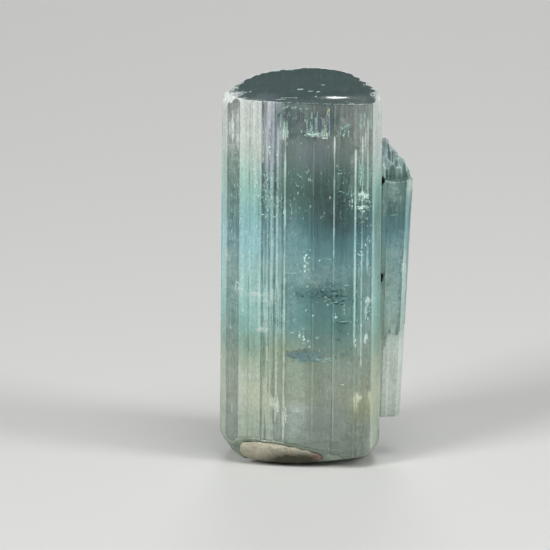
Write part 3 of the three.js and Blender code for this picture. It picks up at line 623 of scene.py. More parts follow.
def growSideCrystal():
    columns, arc = walkOutline(sideCrystal)
    x, y, outX, outY, striation, frost = columns.T
    anchorX, anchorY = sideCrystal["anchor"]
    draws = np.random.default_rng(sideCrystal["seed"] + 1)
    foot = sideCrystal["foot"]
    middleX = (anchorX + sideCrystal["flats"][1][0]) / 2
    footMiddleX = anchorX + (middleX - anchorX) * sideCrystal["footScale"]
    tip = tipHeight(x, y)
    edge = np.array(sideCrystal["edgeLevels"])
    even = np.linspace(sideCrystal["evenLevels"], 1 - sideCrystal["evenLevels"], sideCrystal["levels"])
    levels = np.concatenate([edge, even, 1 - edge[::-1]])
    heights = foot + levels[:, None] * (tip - foot)
    relief = ribRelief(arc, heights, striation, sideCrystal)
    for fromEdge, (worn, slope) in ((heights - foot, sideCrystal["footWear"]),
                                    (tip - heights, sideCrystal["tipWear"])):
        relief -= np.clip(worn - fromEdge, 0, 1) * slope
    climb = np.minimum((heights - foot) / (sideCrystal["shoulder"] - foot), 1)
    scale = sideCrystal["footScale"] + (1 - sideCrystal["footScale"]) * climb
    wallX = anchorX + (x + outX * relief - anchorX) * scale
    wallY = anchorY + (y + outY * relief - anchorY) * scale
    creamTop = np.interp(wallX, sideCrystal["creamX"], sideCrystal["creamZ"])
    creamTop = creamTop + unevenness(draws, arc, heights, *sideCrystal["creamEdge"])
    skin = np.broadcast_to(frost, heights.shape)
    skin = skin + unevenness(draws, arc, heights, *sideCrystal["frostPatches"])
    skin = np.where(heights < creamTop, 1, skin)
    rings = []
    skins = [np.array([1])]
    for share in sideCrystal["footRings"]:
        ringX = footMiddleX + (wallX[0] - footMiddleX) * share
        ringY = anchorY + (wallY[0] - anchorY) * share
        rings.append(np.column_stack([ringX, ringY, 0 * ringX + foot]))
        skins.append(np.ones(len(x)))
    rings += [np.stack(row, 1) for row in zip(wallX, wallY, heights)]
    skins.append(skin.ravel())
    plain, lumpy, lumpHeight = sideCrystal["tipFrost"]
    for share in np.linspace(*sideCrystal["tipRings"]):
        ringX = middleX + (wallX[-1] - middleX) * share
        ringY = anchorY + (wallY[-1] - anchorY) * share
        ringZ = tipHeight(ringX, ringY)
        rings.append(np.column_stack([ringX, ringY, ringZ]))
        skins.append(plain + lumpy * smoothStep((ringZ - sideCrystal["shoulder"]) / lumpHeight))
    peak = tipHeight(np.array([middleX]), np.array([anchorY]))[0]
    skins.append(np.array([sideCrystal["peakFrost"]]))
    points, faces = skinOver(rings, (footMiddleX, anchorY, foot), (middleX, anchorY, peak))
    marks = {mark: spotStrength(sideCrystal[mark], points) for mark in ("tone", "films", "flecks", "hue")}
    marks["frost"] = np.concatenate(skins)
    shine = spotStrength(sideCrystal["shine"], points) * smoothStep(2 * marks["frost"])
    marks.update(lined=np.full(len(points), sideCrystal["lined"]),
                 shine=np.clip(shine, 0, sideCrystal["shineLimit"]), skin=np.full(len(points), sideSkin))
    return makePiece("side_crystal", points, faces, boundMarks(marks))


side = growSideCrystal()
print("side crystal grown:", countTriangles(side.data), "triangles")


# two small hollows in the seam between the crystals: outline as x and z, how deep they run in y,
# and how narrow they end
seamHollows = [
    {
        "outline": [(6.2, 15.5), (6.18, 14.9), (6.22, 14.4), (6.42, 14.3), (6.5, 14.65), (6.7, 15.05),
                    (6.7, 15.45)],
        "y": (-3.4, -2.4),
        "taper": 0.8,
    },
    {
        "outline": [(6.3, 23.35), (6.28, 22.55), (6.36, 22.5), (6.7, 23.0), (6.6, 23.25)],
        "y": (-3.5, -1.9),
        "taper": 0.5,
    },
]
hollowMargin = 0.004                      # points this near to a hollow's wall belong to it


def carveHollow(hollow):
    corners = np.array(hollow["outline"])
    low, high = hollow["y"]
    count = len(corners)
    middle = corners.mean(0)
    narrow = middle + (corners - middle) * hollow["taper"]
    points = [(x + lean * z, y, z) for y, outline in ((low, corners), (high, narrow)) for x, z in outline]
    faces = [(number, (number + 1) % count, (number + 1) % count + count, number + count)
             for number in range(count)]
    faces += [tuple(reversed(range(count))), tuple(range(count, 2 * count))]
    return makePiece("seam_hollow", points, faces)


def combine(piece, other, operation):
    # joins or cuts two closed skins into one
    change = piece.modifiers.new("change", "BOOLEAN")
    change.operation = operation
    change.solver = "MANIFOLD"
    change.object = other
    shapes = bpy.context.evaluated_depsgraph_get()
    mesh = bpy.data.meshes.new_from_object(piece.evaluated_get(shapes))
    piece.modifiers.clear()
    piece.data = mesh
    bpy.data.objects.remove(other)


def insideHollow(hollow, places):
    # which points lie in the hollow or on its walls
    corners = np.array([(x + lean * z, z) for x, z in hollow["outline"]])
    low, high = hollow["y"]
    inside = (places[:, 1] > low - hollowMargin) & (places[:, 1] < high + hollowMargin)
    for start, end in zip(corners, np.roll(corners, -1, 0)):
        along = (end - start) / np.hypot(*(end - start))
        away = (places[:, 0] - start[0]) * along[1] - (places[:, 2] - start[1]) * along[0]
        inside &= away < hollowMargin
    return inside


combine(crystal, side, "UNION")
for hollow in seamHollows:
    combine(crystal, carveHollow(hollow), "DIFFERENCE")
print("crystals joined:", countTriangles(crystal.data), "triangles")


def display(red, green, blue):
    # a colour as a screen shows it, from 0 to 255, as the light it stands for
    linear = [(part / 255 / 12.92) if part < 11 else ((part / 255 + 0.055) / 1.055) ** 2.4
              for part in (red, green, blue)]
    return (*linear, 1)


def addNode(tree, kind, settings=None, values=None):
    node = tree.nodes.new(kind)
    for name, value in (settings or {}).items():
        setattr(node, name, value)
    for name, value in (values or {}).items():
        node.inputs[name].default_value = value
    return node


def plug(tree, socket, value):
    if isinstance(value, (int, float, tuple)):
        socket.default_value = value
    else:
        tree.links.new(value, socket)


def stretch(tree, coordinates, scale):
    # coordinates that count cells for each millimetre along x, y and z
    mapping = addNode(tree, "ShaderNodeMapping", {}, {"Scale": [part / mm for part in scale]})
    tree.links.new(coordinates, mapping.inputs["Vector"])
    return mapping.outputs["Vector"]


def stretchedNoise(tree, coordinates, scale, detail, roughness, distortion=0):
    noise = addNode(tree, "ShaderNodeTexNoise", {}, {
        "Scale": 1, "Detail": detail, "Roughness": roughness, "Distortion": distortion})
    tree.links.new(stretch(tree, coordinates, scale), noise.inputs["Vector"])
    return noise.outputs["Fac"]


def mathNode(tree, operation, first, second, third=0.0, clamp=False):
    node = addNode(tree, "ShaderNodeMath", {"operation": operation, "use_clamp": clamp})
    for socket, value in zip(node.inputs, (first, second, third)):
        plug(tree, socket, value)
    return node.outputs["Value"]


def rescale(tree, value, low, high, newLow, newHigh):
    node = addNode(tree, "ShaderNodeMapRange")
    plug(tree, node.inputs["Value"], value)
    for name, number in zip(("From Min", "From Max", "To Min", "To Max"), (low, high, newLow, newHigh)):
        plug(tree, node.inputs[name], number)
    return node.outputs["Result"]


def mixColours(tree, share, first, second, blend="MIX"):
    node = addNode(tree, "ShaderNodeMix", {"data_type": "RGBA", "blend_type": blend})
    # its colour sockets share their names with others, so they are taken by number
    for number, value in ((0, share), (6, first), (7, second)):
        plug(tree, node.inputs[number], value)
    return node.outputs[2]


def tint(tree, colour, by):
    # a colour darkened or lightened by another
    return mixColours(tree, 1.0, colour, by, "MULTIPLY")


def bumpUp(tree, height, strength, distance):
    bump = addNode(tree, "ShaderNodeBump", {}, {"Strength": strength, "Distance": distance * mm})
    tree.links.new(height, bump.inputs["Height"])
    tree.links.new(bump.outputs["Normal"], tree.nodes["Principled BSDF"].inputs["Normal"])


def arrangeNodes(tree):
    # lays the nodes out in columns, each one left of what it feeds
    columns = dict.fromkeys(tree.nodes.keys(), 0)
    settled = False
    while not settled:
        settled = True
        for link in tree.links:
            column = columns[link.to_node.name] + 1
            if columns[link.from_node.name] < column:
                columns[link.from_node.name] = column
                settled = False
    filled = dict.fromkeys(columns.values(), 0)
    for node in tree.nodes:
        column = columns[node.name]
        node.location = (-220 * column, -280 * filled[column])
        filled[column] += 1


def startMaterial(name):
    # a new material with its node tree, its shader's sockets and the piece's own coordinates
    material = bpy.data.materials.new(name)
    material.use_nodes = True
    tree = material.node_tree
    coordinates = addNode(tree, "ShaderNodeTexCoord").outputs["Object"]
    return material, tree, tree.nodes["Principled BSDF"].inputs, coordinates


tourmaline = {
    "ior": 1.63,
    "clearShare": 0.62,                   # light that the glassy skin lets through
    "etchedShare": 0.25,
    "roughness": (0.1, 0.5),              # glassy and etched
    "topRoughness": 0.12,
    "relief": (0.6, 0.08),                # bump of the walls and of the top
    "reliefHeight": 0.03,
    "drift": (0.22, 0.05),                # cloudiness of the walls and of the top
    "absorbed": (0.42, 0.68, 0.7, 1),
    "absorption": 40,
    "white": display(236, 246, 240),
    "lilac": display(176, 182, 208),
    "straw": display(196, 200, 150),
    "deep": (0.26, 0.44, 0.46, 1),
    # the flecks' near-white: etch pits, partly painted sparkle
    "fleck": display(235, 250, 242),
    # noises: cells for each millimetre along x, y and z, detail, roughness, distortion
    "wisps": ((0.45, 0.45, 1.3), 5, 0.65),
    "scratches": ((7, 7, 0.35), 4, 0.6),
    "clouds": ((1.1, 1.1, 1.3), 6, 0.7, 0.3),
    "veils": ((0.8, 0.8, 2.2), 5, 0.6, 0.5),
    "dashes": ((1.7, 1.7, 6), 5, 0.7),
    "streaks": ((3.6, 3.6, 0.07), 5, 0.7),
    "grain": ((6, 6, 4.5), 4, 0.75),
    # what a noise, a mark or a share of the height turns into: from, to, value at each
    "wispReach": (0.97, 0.99, 0.07, 0.0),
    "milkiness": (0.34, 0.26, 0.0, 0.35),
    "cloudTone": (0.3, 0.7, 0.25, 1.5),
    "veilTone": (0.35, 0.65, -0.7, 0.9),
    "uprightFilms": (0.895, 0.905, 0.0, 1.0),
    "raggedness": (0.0, 1.0, -1.3, 1.3),
    "filmsInMilk": (0.0, 0.35, 0.85, 0.0),
    "film": (0.45, 0.6, 0.0, 0.8),
    "shadow": (0.45, 0.6, 0.0, 0.7),
    "paler": (0.0, 1.0, 0.0, 1.0),
    "deeper": (0.0, -1.0, 0.0, 1.0),
    "lilacShare": (0.0, 1.0, 0.0, 0.75),
    "strawShare": (0.0, -1.0, 0.0, 0.75),
    "streakShade": (0.3, 0.7, 0.58, 1.4),
    "streakBreaks": (-0.7, 0.9, 0.35, 1.0),
    "grainShade": (0.3, 0.7, 0.76, 1.25),
    "fleckSize": (0.0, 1.0, 0.2, 0.5),
    "driftClouds": (0.25, 0.75),          # from and to, for the drift
    "scratchEtch": (0.7, -0.35),          # times the scratches, and added to it
    "milkyEtch": 0.6,
    "milkyWhite": 0.35,
    "filmWhite": 0.8,
    "filmSpread": 3.0,                    # how soon the films' edges turn ragged
    "shine": 0.7,
    "flecks": 0.8,
    "fleckCells": (7, 7, 3.6),            # for each millimetre
    "fleckFray": (2.2, 0.5),              # how fine and how strong
    # growth zones from the break to the top: height, glassy colour, etched colour
    "zones": [
        (0.0, display(150, 168, 152), display(160, 172, 152)),
        (3.5, display(164, 180, 164), display(172, 188, 168)),
        (6.0, display(176, 188, 166), display(194, 204, 182)),
        (8.4, display(162, 182, 160), display(180, 198, 174)),
        (10.2, display(132, 172, 162), display(152, 188, 170)),
        (12.4, display(110, 166, 164), display(150, 204, 196)),
        (14.6, display(100, 152, 150), display(176, 222, 214)),
        (16.6, display(128, 180, 182), display(172, 218, 214)),
        (18.6, display(100, 158, 164), display(164, 218, 222)),
        (20.4, display(66, 116, 118), display(152, 206, 206)),
        (22.4, display(64, 108, 98), display(162, 212, 200)),
        (24.2, display(84, 122, 112), display(184, 220, 206)),
        (26.4, display(132, 146, 138), display(214, 226, 216)),
        (29.9, display(124, 138, 134), display(224, 230, 224)),
        (30.1, display(28, 90, 84), display(224, 230, 224)),
    ],
}


def zoneRamps(tree, height):
    # the glassy and the etched colour at each share of the height
    ramps = []
    for column in (1, 2):
        ramp = addNode(tree, "ShaderNodeValToRGB")
        stops = ramp.color_ramp.elements
        while len(stops) < len(tourmaline["zones"]):
            stops.new(0.5)
        for stop, zone in zip(stops, tourmaline["zones"]):
            stop.position = zone[0] / prism["height"]
            stop.color = zone[column]
        tree.links.new(height, ramp.inputs["Fac"])
        ramps.append(ramp.outputs["Color"])
    return ramps


def fleckShare(tree, coordinates, density):
    # small frayed flecks, one to a cell, in as many cells as the density says: whitish etch pits, painted
    # brighter as painted sparkle of light off tiny chips
    cells = stretch(tree, coordinates, tourmaline["fleckCells"])
    fine, strong = tourmaline["fleckFray"]
    fray = addNode(tree, "ShaderNodeTexNoise", {}, {"Scale": fine})
    tree.links.new(cells, fray.inputs["Vector"])
    spots = addNode(tree, "ShaderNodeTexVoronoi", {}, {"Scale": 1})
    frayed = mixColours(tree, strong, cells, fray.outputs["Color"], "ADD")
    tree.links.new(frayed, spots.inputs["Vector"])
    chosen = addNode(tree, "ShaderNodeSeparateColor")
    tree.links.new(spots.outputs["Color"], chosen.inputs["Color"])
    present = mathNode(tree, "LESS_THAN", chosen.outputs["Red"], density)
    size = rescale(tree, chosen.outputs["Green"], *tourmaline["fleckSize"])
    inside = mathNode(tree, "LESS_THAN", spots.outputs["Distance"], size)
    fleck = mathNode(tree, "MULTIPLY", present, inside)
    return mathNode(tree, "MULTIPLY", fleck, tourmaline["flecks"])


def tourmalineMaterial(name, clearShare, onTop=False):
    material, tree, sockets, coordinates = startMaterial(name)
    noises = {}
    for noise in ("wisps", "scratches", "clouds", "veils", "dashes", "streaks", "grain"):
        noises[noise] = stretchedNoise(tree, coordinates, *tourmaline[noise])
    marks = {}
    for mark in ("frost", "tone", "films", "flecks", "hue", "lined", "shine"):
        node = addNode(tree, "ShaderNodeAttribute", {"attribute_name": mark})
        marks[mark] = node.outputs["Fac"]
    # the zones lie across the crystal, with wispy edges
    place = addNode(tree, "ShaderNodeSeparateXYZ")
    tree.links.new(coordinates, place.inputs["Vector"])
    height = mathNode(tree, "MULTIPLY", place.outputs["Z"], 1 / prism["height"] / mm)
    reach = rescale(tree, height, *tourmaline["wispReach"])
    shift = mathNode(tree, "SUBTRACT", noises["wisps"], 0.5)
    glassy, pale = zoneRamps(tree, mathNode(tree, "MULTIPLY_ADD", shift, reach, height))
    # etched skin comes and goes in fine upright streaks
    etched = mathNode(tree, "MULTIPLY_ADD", noises["scratches"], *tourmaline["scratchEtch"])
    etched = mathNode(tree, "ADD", marks["frost"], etched, clamp=True)
    # the lower third is milky all over
    milkiness = rescale(tree, height, *tourmaline["milkiness"])
    etched = rescale(tree, milkiness, 0, 1, etched, tourmaline["milkyEtch"])
    colour = mixColours(tree, etched, glassy, pale)
    # paler and deeper clouds
    uneven = rescale(tree, noises["clouds"], *tourmaline["cloudTone"])
    tone = mathNode(tree, "MULTIPLY", marks["tone"], uneven)
    most = tourmaline["drift"][onTop]
    drift = rescale(tree, noises["clouds"], *tourmaline["driftClouds"], -most, most)
    tone = mathNode(tree, "ADD", tone, drift)
    veils = rescale(tree, noises["veils"], *tourmaline["veilTone"])
    tone = mathNode(tree, "MULTIPLY_ADD", veils, milkiness, tone)
    milky = mixColours(tree, tourmaline["milkyWhite"], pale, tourmaline["white"])
    paler = rescale(tree, tone, *tourmaline["paler"])
    colour = mixColours(tree, paler, colour, milky)
    deeper = rescale(tree, tone, *tourmaline["deeper"])
    deep = tint(tree, colour, tourmaline["deep"])
    colour = mixColours(tree, deeper, colour, deep)
    # crisp ragged films, level ones below and upright ones under the rim
    upright = rescale(tree, height, *tourmaline["uprightFilms"])
    ragged = rescale(tree, upright, 0, 1, noises["dashes"], noises["scratches"])
    ragged = rescale(tree, ragged, *tourmaline["raggedness"])
    strong = mathNode(tree, "ABSOLUTE", marks["films"], 0.0)
    everywhere = rescale(tree, milkiness, *tourmaline["filmsInMilk"])
    presence = mathNode(tree, "MULTIPLY_ADD", strong, tourmaline["filmSpread"], everywhere, clamp=True)
    ragged = mathNode(tree, "MULTIPLY", ragged, presence)
    film = mathNode(tree, "ADD", marks["films"], ragged)
    film = rescale(tree, film, *tourmaline["film"])
    shadow = mathNode(tree, "SUBTRACT", ragged, marks["films"])
    shadow = rescale(tree, shadow, *tourmaline["shadow"])
    bright = mixColours(tree, tourmaline["filmWhite"], pale, tourmaline["white"])
    colour = mixColours(tree, film, colour, bright)
    deep = tint(tree, colour, tourmaline["deep"])
    colour = mixColours(tree, shadow, colour, deep)
    shine = mathNode(tree, "MULTIPLY", marks["shine"], tourmaline["shine"])
    colour = mixColours(tree, shine, colour, bright)
    for hue in ("lilac", "straw"):
        share = rescale(tree, marks["hue"], *tourmaline[hue + "Share"])
        colour = mixColours(tree, share, colour, tourmaline[hue])
    # fine upright growth streaks, light and dark
    shade = rescale(tree, noises["streaks"], *tourmaline["streakShade"])
    breaks = rescale(tree, veils, *tourmaline["streakBreaks"])
    streakShare = mathNode(tree, "MULTIPLY", marks["lined"], breaks)
    colour = mixColours(tree, streakShare, colour, tint(tree, colour, shade))
    grain = rescale(tree, noises["grain"], *tourmaline["grainShade"])
    colour = tint(tree, colour, grain)
    # bright flecks: etch pits with painted sparkle
    fleck = fleckShare(tree, coordinates, marks["flecks"])
    colour = mixColours(tree, fleck, colour, tourmaline["fleck"])
    tree.links.new(colour, sockets["Base Color"])
    smoothest, roughest = tourmaline["roughness"]
    if onTop:
        smoothest = tourmaline["topRoughness"]
    tree.links.new(rescale(tree, etched, 0, 1, smoothest, roughest), sockets["Roughness"])
    relief = mathNode(tree, "MULTIPLY_ADD", etched, noises["scratches"], noises["streaks"])
    bumpUp(tree, relief, tourmaline["relief"][onTop], tourmaline["reliefHeight"])
    sockets["IOR"].default_value = tourmaline["ior"]
    sockets["Transmission Weight"].default_value = clearShare
    absorb = addNode(tree, "ShaderNodeVolumeAbsorption", {},
                     {"Color": tourmaline["absorbed"], "Density": tourmaline["absorption"]})
    tree.links.new(absorb.outputs["Volume"], tree.nodes["Material Output"].inputs["Volume"])
    arrangeNodes(tree)
    return material


# painted shade for the seam's hollows: near-black colours that stand in for their shadow
seamShade = {
    "dark": display(8, 7, 8),
    "light": display(34, 26, 26),
    "grains": ((9, 9, 9), 3, 0.6),        # noise, as for the tourmaline
    "roughness": (0.6, 0.95),
}


def seamShadeMaterial():
    # painted shade: a near-black speckled colour that stands in for the shadow deep in the seam's hollows
    material, tree, sockets, coordinates = startMaterial("painted_seam_shade")
    grains = stretchedNoise(tree, coordinates, *seamShade["grains"])
    colour = mixColours(tree, grains, seamShade["dark"], seamShade["light"])
    tree.links.new(colour, sockets["Base Color"])
    rough = rescale(tree, grains, 0, 1, *seamShade["roughness"])
    tree.links.new(rough, sockets["Roughness"])
    arrangeNodes(tree)
    return material


crystalFaces = {
    "filmsOpaque": 0.6,                   # how much bright films count as etched
    "etchedFrom": 0.6,                    # faces above this are etched and let less light through
    "sharpAngle": 30,
}


def readMark(mesh, mark):
    values = np.empty(len(mesh.vertices), np.float32)
    mesh.attributes[mark].data.foreach_get("value", values)
    return values


def dressCrystal():
    mesh = crystal.data
    mesh.materials.clear()
    for material in (tourmalineMaterial("clear_tourmaline", tourmaline["clearShare"]),
                     tourmalineMaterial("etched_tourmaline", tourmaline["etchedShare"]),
                     tourmalineMaterial("polished_tourmaline", tourmaline["clearShare"], True),
                     seamShadeMaterial()):
        mesh.materials.append(material)
    places = np.empty(3 * len(mesh.vertices), np.float32)
    mesh.vertices.foreach_get("co", places)
    places = places.reshape(-1, 3) / mm
    hollowed = np.any([insideHollow(hollow, places) for hollow in seamHollows], axis=0)
    corners = np.empty(len(mesh.loops), int)
    mesh.loops.foreach_get("vertex_index", corners)
    starts, counts = (np.empty(len(mesh.polygons), int) for part in range(2))
    mesh.polygons.foreach_get("loop_start", starts)
    mesh.polygons.foreach_get("loop_total", counts)
    opaque = readMark(mesh, "frost") + crystalFaces["filmsOpaque"] * np.clip(readMark(mesh, "films"), 0, 1)
    opaque = opaque + readMark(mesh, "shine")
    opaque = np.add.reduceat(opaque[corners], starts) / counts
    inHollow = np.minimum.reduceat(hollowed[corners], starts)
    onTop = np.minimum.reduceat(readMark(mesh, "skin")[corners], starts) == topSkin
    # material slots: 3 painted seam shade, 2 polished, 1 etched, 0 clear
    slots = np.select([inHollow, onTop, opaque > crystalFaces["etchedFrom"]], [3, 2, 1], 0)
    mesh.polygons.foreach_set("material_index", slots)
    mesh.polygons.foreach_set("use_smooth", np.ones(len(mesh.polygons), bool))
    mesh.set_sharp_from_angle(angle=math.radians(crystalFaces["sharpAngle"]))
    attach(crystal, "root")
    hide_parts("crystal")


dressCrystal()
print("crystal finished")


inclusions = {
    "seed": 31,
    "thickness": 0.012,
    "clouds": ((2.5, 2.5, 2.5), 4, 0.65),    # noise of their colours
    "dullest": 0.2,                       # added roughness at most
    "plateletSpread": 0.6,
    "plateletDepth": (0.1, 0.35),         # behind the front
    "plateletTilt": (0.6, 0.3),           # how far they turn about, and upwards
    "plateletSize": (0.3, 1),
    "plateletCorners": (6, 0.6, 1.3, 0.5),    # how many, least share of the reach, width, height
    "needleDepth": (0.12, 0.4),
    "needleRadius": (0.03, 0.06),
    "needleLength": (0.3, 1),
    "needleProfile": ((-1, 0.4), (-0.7, 1), (0.7, 1), (1, 0.4)),    # place along it, thickness
    "needleSides": 6,
    "crackCorners": 40,
    "crackRagged": (0.8, 1.05),
    "crackWaves": (0.07, 2.3),            # height, and how closely they follow each other
    # rings of a crack from its underside to its top: share of the width, height
    "crackProfile": ((0.3, -0.03), (0.65, -0.024), (0.9, -0.012), (1, 0), (0.9, 0.012), (0.65, 0.024),
                     (0.3, 0.03)),
    # clusters of thin platelets: x, z, half width, half height, how many, size, colour
    "clusters": [
        (4.75, 22.8, 0.6, 0.25, 14, 0.7, "bright"), (4.65, 21.4, 0.6, 0.12, 12, 0.6, "bright"),
        (0.5, 17.4, 0.15, 0.4, 6, 0.4, "bright"), (0.2, 16.6, 0.1, 0.3, 5, 0.35, "bright"),
        (0.3, 10.9, 0.5, 0.5, 7, 0.35, "bright"), (2.8, 12.5, 0.1, 0.1, 2, 0.3, "bright"),
        (5.1, 10.7, 0.1, 0.25, 4, 0.4, "bright"), (5.4, 13.9, 0.4, 0.15, 6, 0.5, "bright"),
        (-2.2, 21.0, 0.8, 2.0, 12, 0.3, "bright"), (0.6, 23.0, 1.6, 2.2, 8, 0.3, "bright"),
        (2.0, 14.9, 1.5, 0.25, 18, 0.6, "dark"), (3.1, 11.6, 0.4, 0.8, 6, 0.5, "dark"),
        (2.4, 21.5, 1.2, 2.0, 8, 0.7, "dark"),
    ],
    # upright needles and tubes: x, z, half width, half height, how many, length, colour
    "needles": [
        (2.2, 5.5, 0.9, 0.3, 10, 0.9, "bright"), (2.4, 5.4, 0.9, 0.3, 8, 0.8, "dark"),
        (0.8, 28.2, 0.8, 0.3, 6, 1.4, "bright"), (2.5, 22.5, 2.0, 2.5, 8, 1.6, "bright"),
    ],
    # healed cracks: x, depth behind the front, z, half width, half depth, tilt, colour
    "cracks": [(0.5, 1.2, 9.25, 1.9, 1.1, 18, "crack"), (1.0, 0.5, 9.1, 0.75, 0.3, 24, "bright"),
               (1.6, 1.0, 15.1, 2.0, 0.8, 6, "crack"), (-2.2, 0.9, 11.9, 1.2, 0.7, 8, "crack")],
}


# finishes of films, cracks and etch marks: colours, roughness, light let through
filmFinishes = {
    "bright": (display(222, 244, 234), display(186, 226, 214), 0.2, 0.0),
    "dark": (display(16, 44, 46), display(40, 84, 84), 0.2, 0.0),
    "crack": (display(40, 92, 120), display(90, 150, 176), 0.12, 0.2),
    "pale": (display(158, 192, 184), display(132, 172, 164), 0.3, 0.0),
    "milk": (display(206, 214, 200), display(184, 196, 180), 0.45, 0.0),
    "straw": (display(194, 202, 172), display(166, 180, 152), 0.3, 0.0),
    "lilac": (display(70, 76, 90), display(92, 98, 112), 0.3, 0.0),
    "blue": (display(92, 124, 128), display(112, 142, 144), 0.3, 0.0),
    "haze": (display(150, 166, 154), display(132, 150, 138), 0.4, 0.0),
    "dusk": (display(62, 104, 102), display(92, 134, 130), 0.25, 0.0),
}


def addSkin(build, loops, finish):
    # a closed skin over loops of points
    start, size = len(build["points"]), len(loops[0])
    for loop in loops:
        build["points"].extend(tuple(point) for point in loop)
    for row in range(len(loops) - 1):
        for corner in range(size):
            after = (corner + 1) % size
            low = start + row * size
            build["faces"].append((low + corner, low + after, low + size + after, low + size + corner))
    build["faces"].append(tuple(range(start + size - 1, start - 1, -1)))
    build["faces"].append(tuple(range(len(build["points"]) - size, len(build["points"]))))
    build["finishes"] += [list(filmFinishes).index(finish)] * (size * (len(loops) - 1) + 2)


def growPlatelets(build, draws):
    thickness = inclusions["thickness"]
    spread = inclusions["plateletSpread"]
    tilt, upwards = inclusions["plateletTilt"]
    sides, least, broad, tallness = inclusions["plateletCorners"]
    for x, z, wide, tall, count, size, colour in inclusions["clusters"]:
        for number in range(count):
            centreX = x + wide * draws.normal() * spread
            centreZ = z + tall * draws.normal() * spread
            depth = frontDepth(centreX) + draws.uniform(*inclusions["plateletDepth"])
            normal = Vector((draws.normal() * tilt, -1, draws.normal() * tilt + upwards)).normalized()
            right = normal.cross(Vector((0, 0, 1))).normalized()
            up = right.cross(normal)
            reach = size * draws.uniform(*inclusions["plateletSize"])
            turn = draws.uniform(0, 6)
            corners = []
            for corner in range(sides):
                angle = turn + corner * 2 * math.pi / sides
                away = reach * draws.uniform(least, 1) / 2
                corners.append((right * math.cos(angle) * away * broad,
                                up * math.sin(angle) * away * tallness))
            middle = Vector((centreX + lean * centreZ, depth, centreZ))
            half = normal * thickness / 2
            addSkin(build, [[middle + across + along + side for across, along in corners]
                            for side in (-half, half)], colour)


def growNeedles(build, draws):
    sides = inclusions["needleSides"]
    turns = [corner * 2 * math.pi / sides for corner in range(sides)]
    for x, z, wide, tall, count, length, colour in inclusions["needles"]:
        for number in range(count):
            centreX = x + wide * draws.uniform(-1, 1)
            centreZ = z + tall * draws.normal()
            depth = frontDepth(centreX) + draws.uniform(*inclusions["needleDepth"])
            radius = draws.uniform(*inclusions["needleRadius"])
            half = length * draws.uniform(*inclusions["needleLength"]) / 2
            loops = []
            for along, taper in inclusions["needleProfile"]:
                height = centreZ + half * along
                loops.append([Vector((centreX + lean * height + radius * taper * math.cos(turn),
                                      depth + radius * taper * math.sin(turn), height)) for turn in turns])
            addSkin(build, loops, colour)


def growCracks(build, draws):
    waveHeight, waves = inclusions["crackWaves"]
    turns = np.linspace(0, 2 * math.pi, inclusions["crackCorners"], endpoint=False)
    for x, depth, z, wide, deep, tilt, colour in inclusions["cracks"]:
        tilt = math.radians(tilt)
        middle = Vector((x + lean * z, frontDepth(x) + depth, z))
        rim = []
        for turn in turns:
            across = wide * draws.uniform(*inclusions["crackRagged"]) * math.cos(turn)
            rim.append((across, deep * draws.uniform(*inclusions["crackRagged"]) * math.sin(turn)))
        loops = []
        for share, height in inclusions["crackProfile"]:
            loop = []
            for across, along in rim:
                wave = waveHeight * math.sin(waves * across * share + along * share)
                loop.append(middle + Vector((across * share, along * share * math.cos(tilt),
                                             height + along * share * math.sin(tilt) + wave)))
            loops.append(loop)
        addSkin(build, loops, colour)


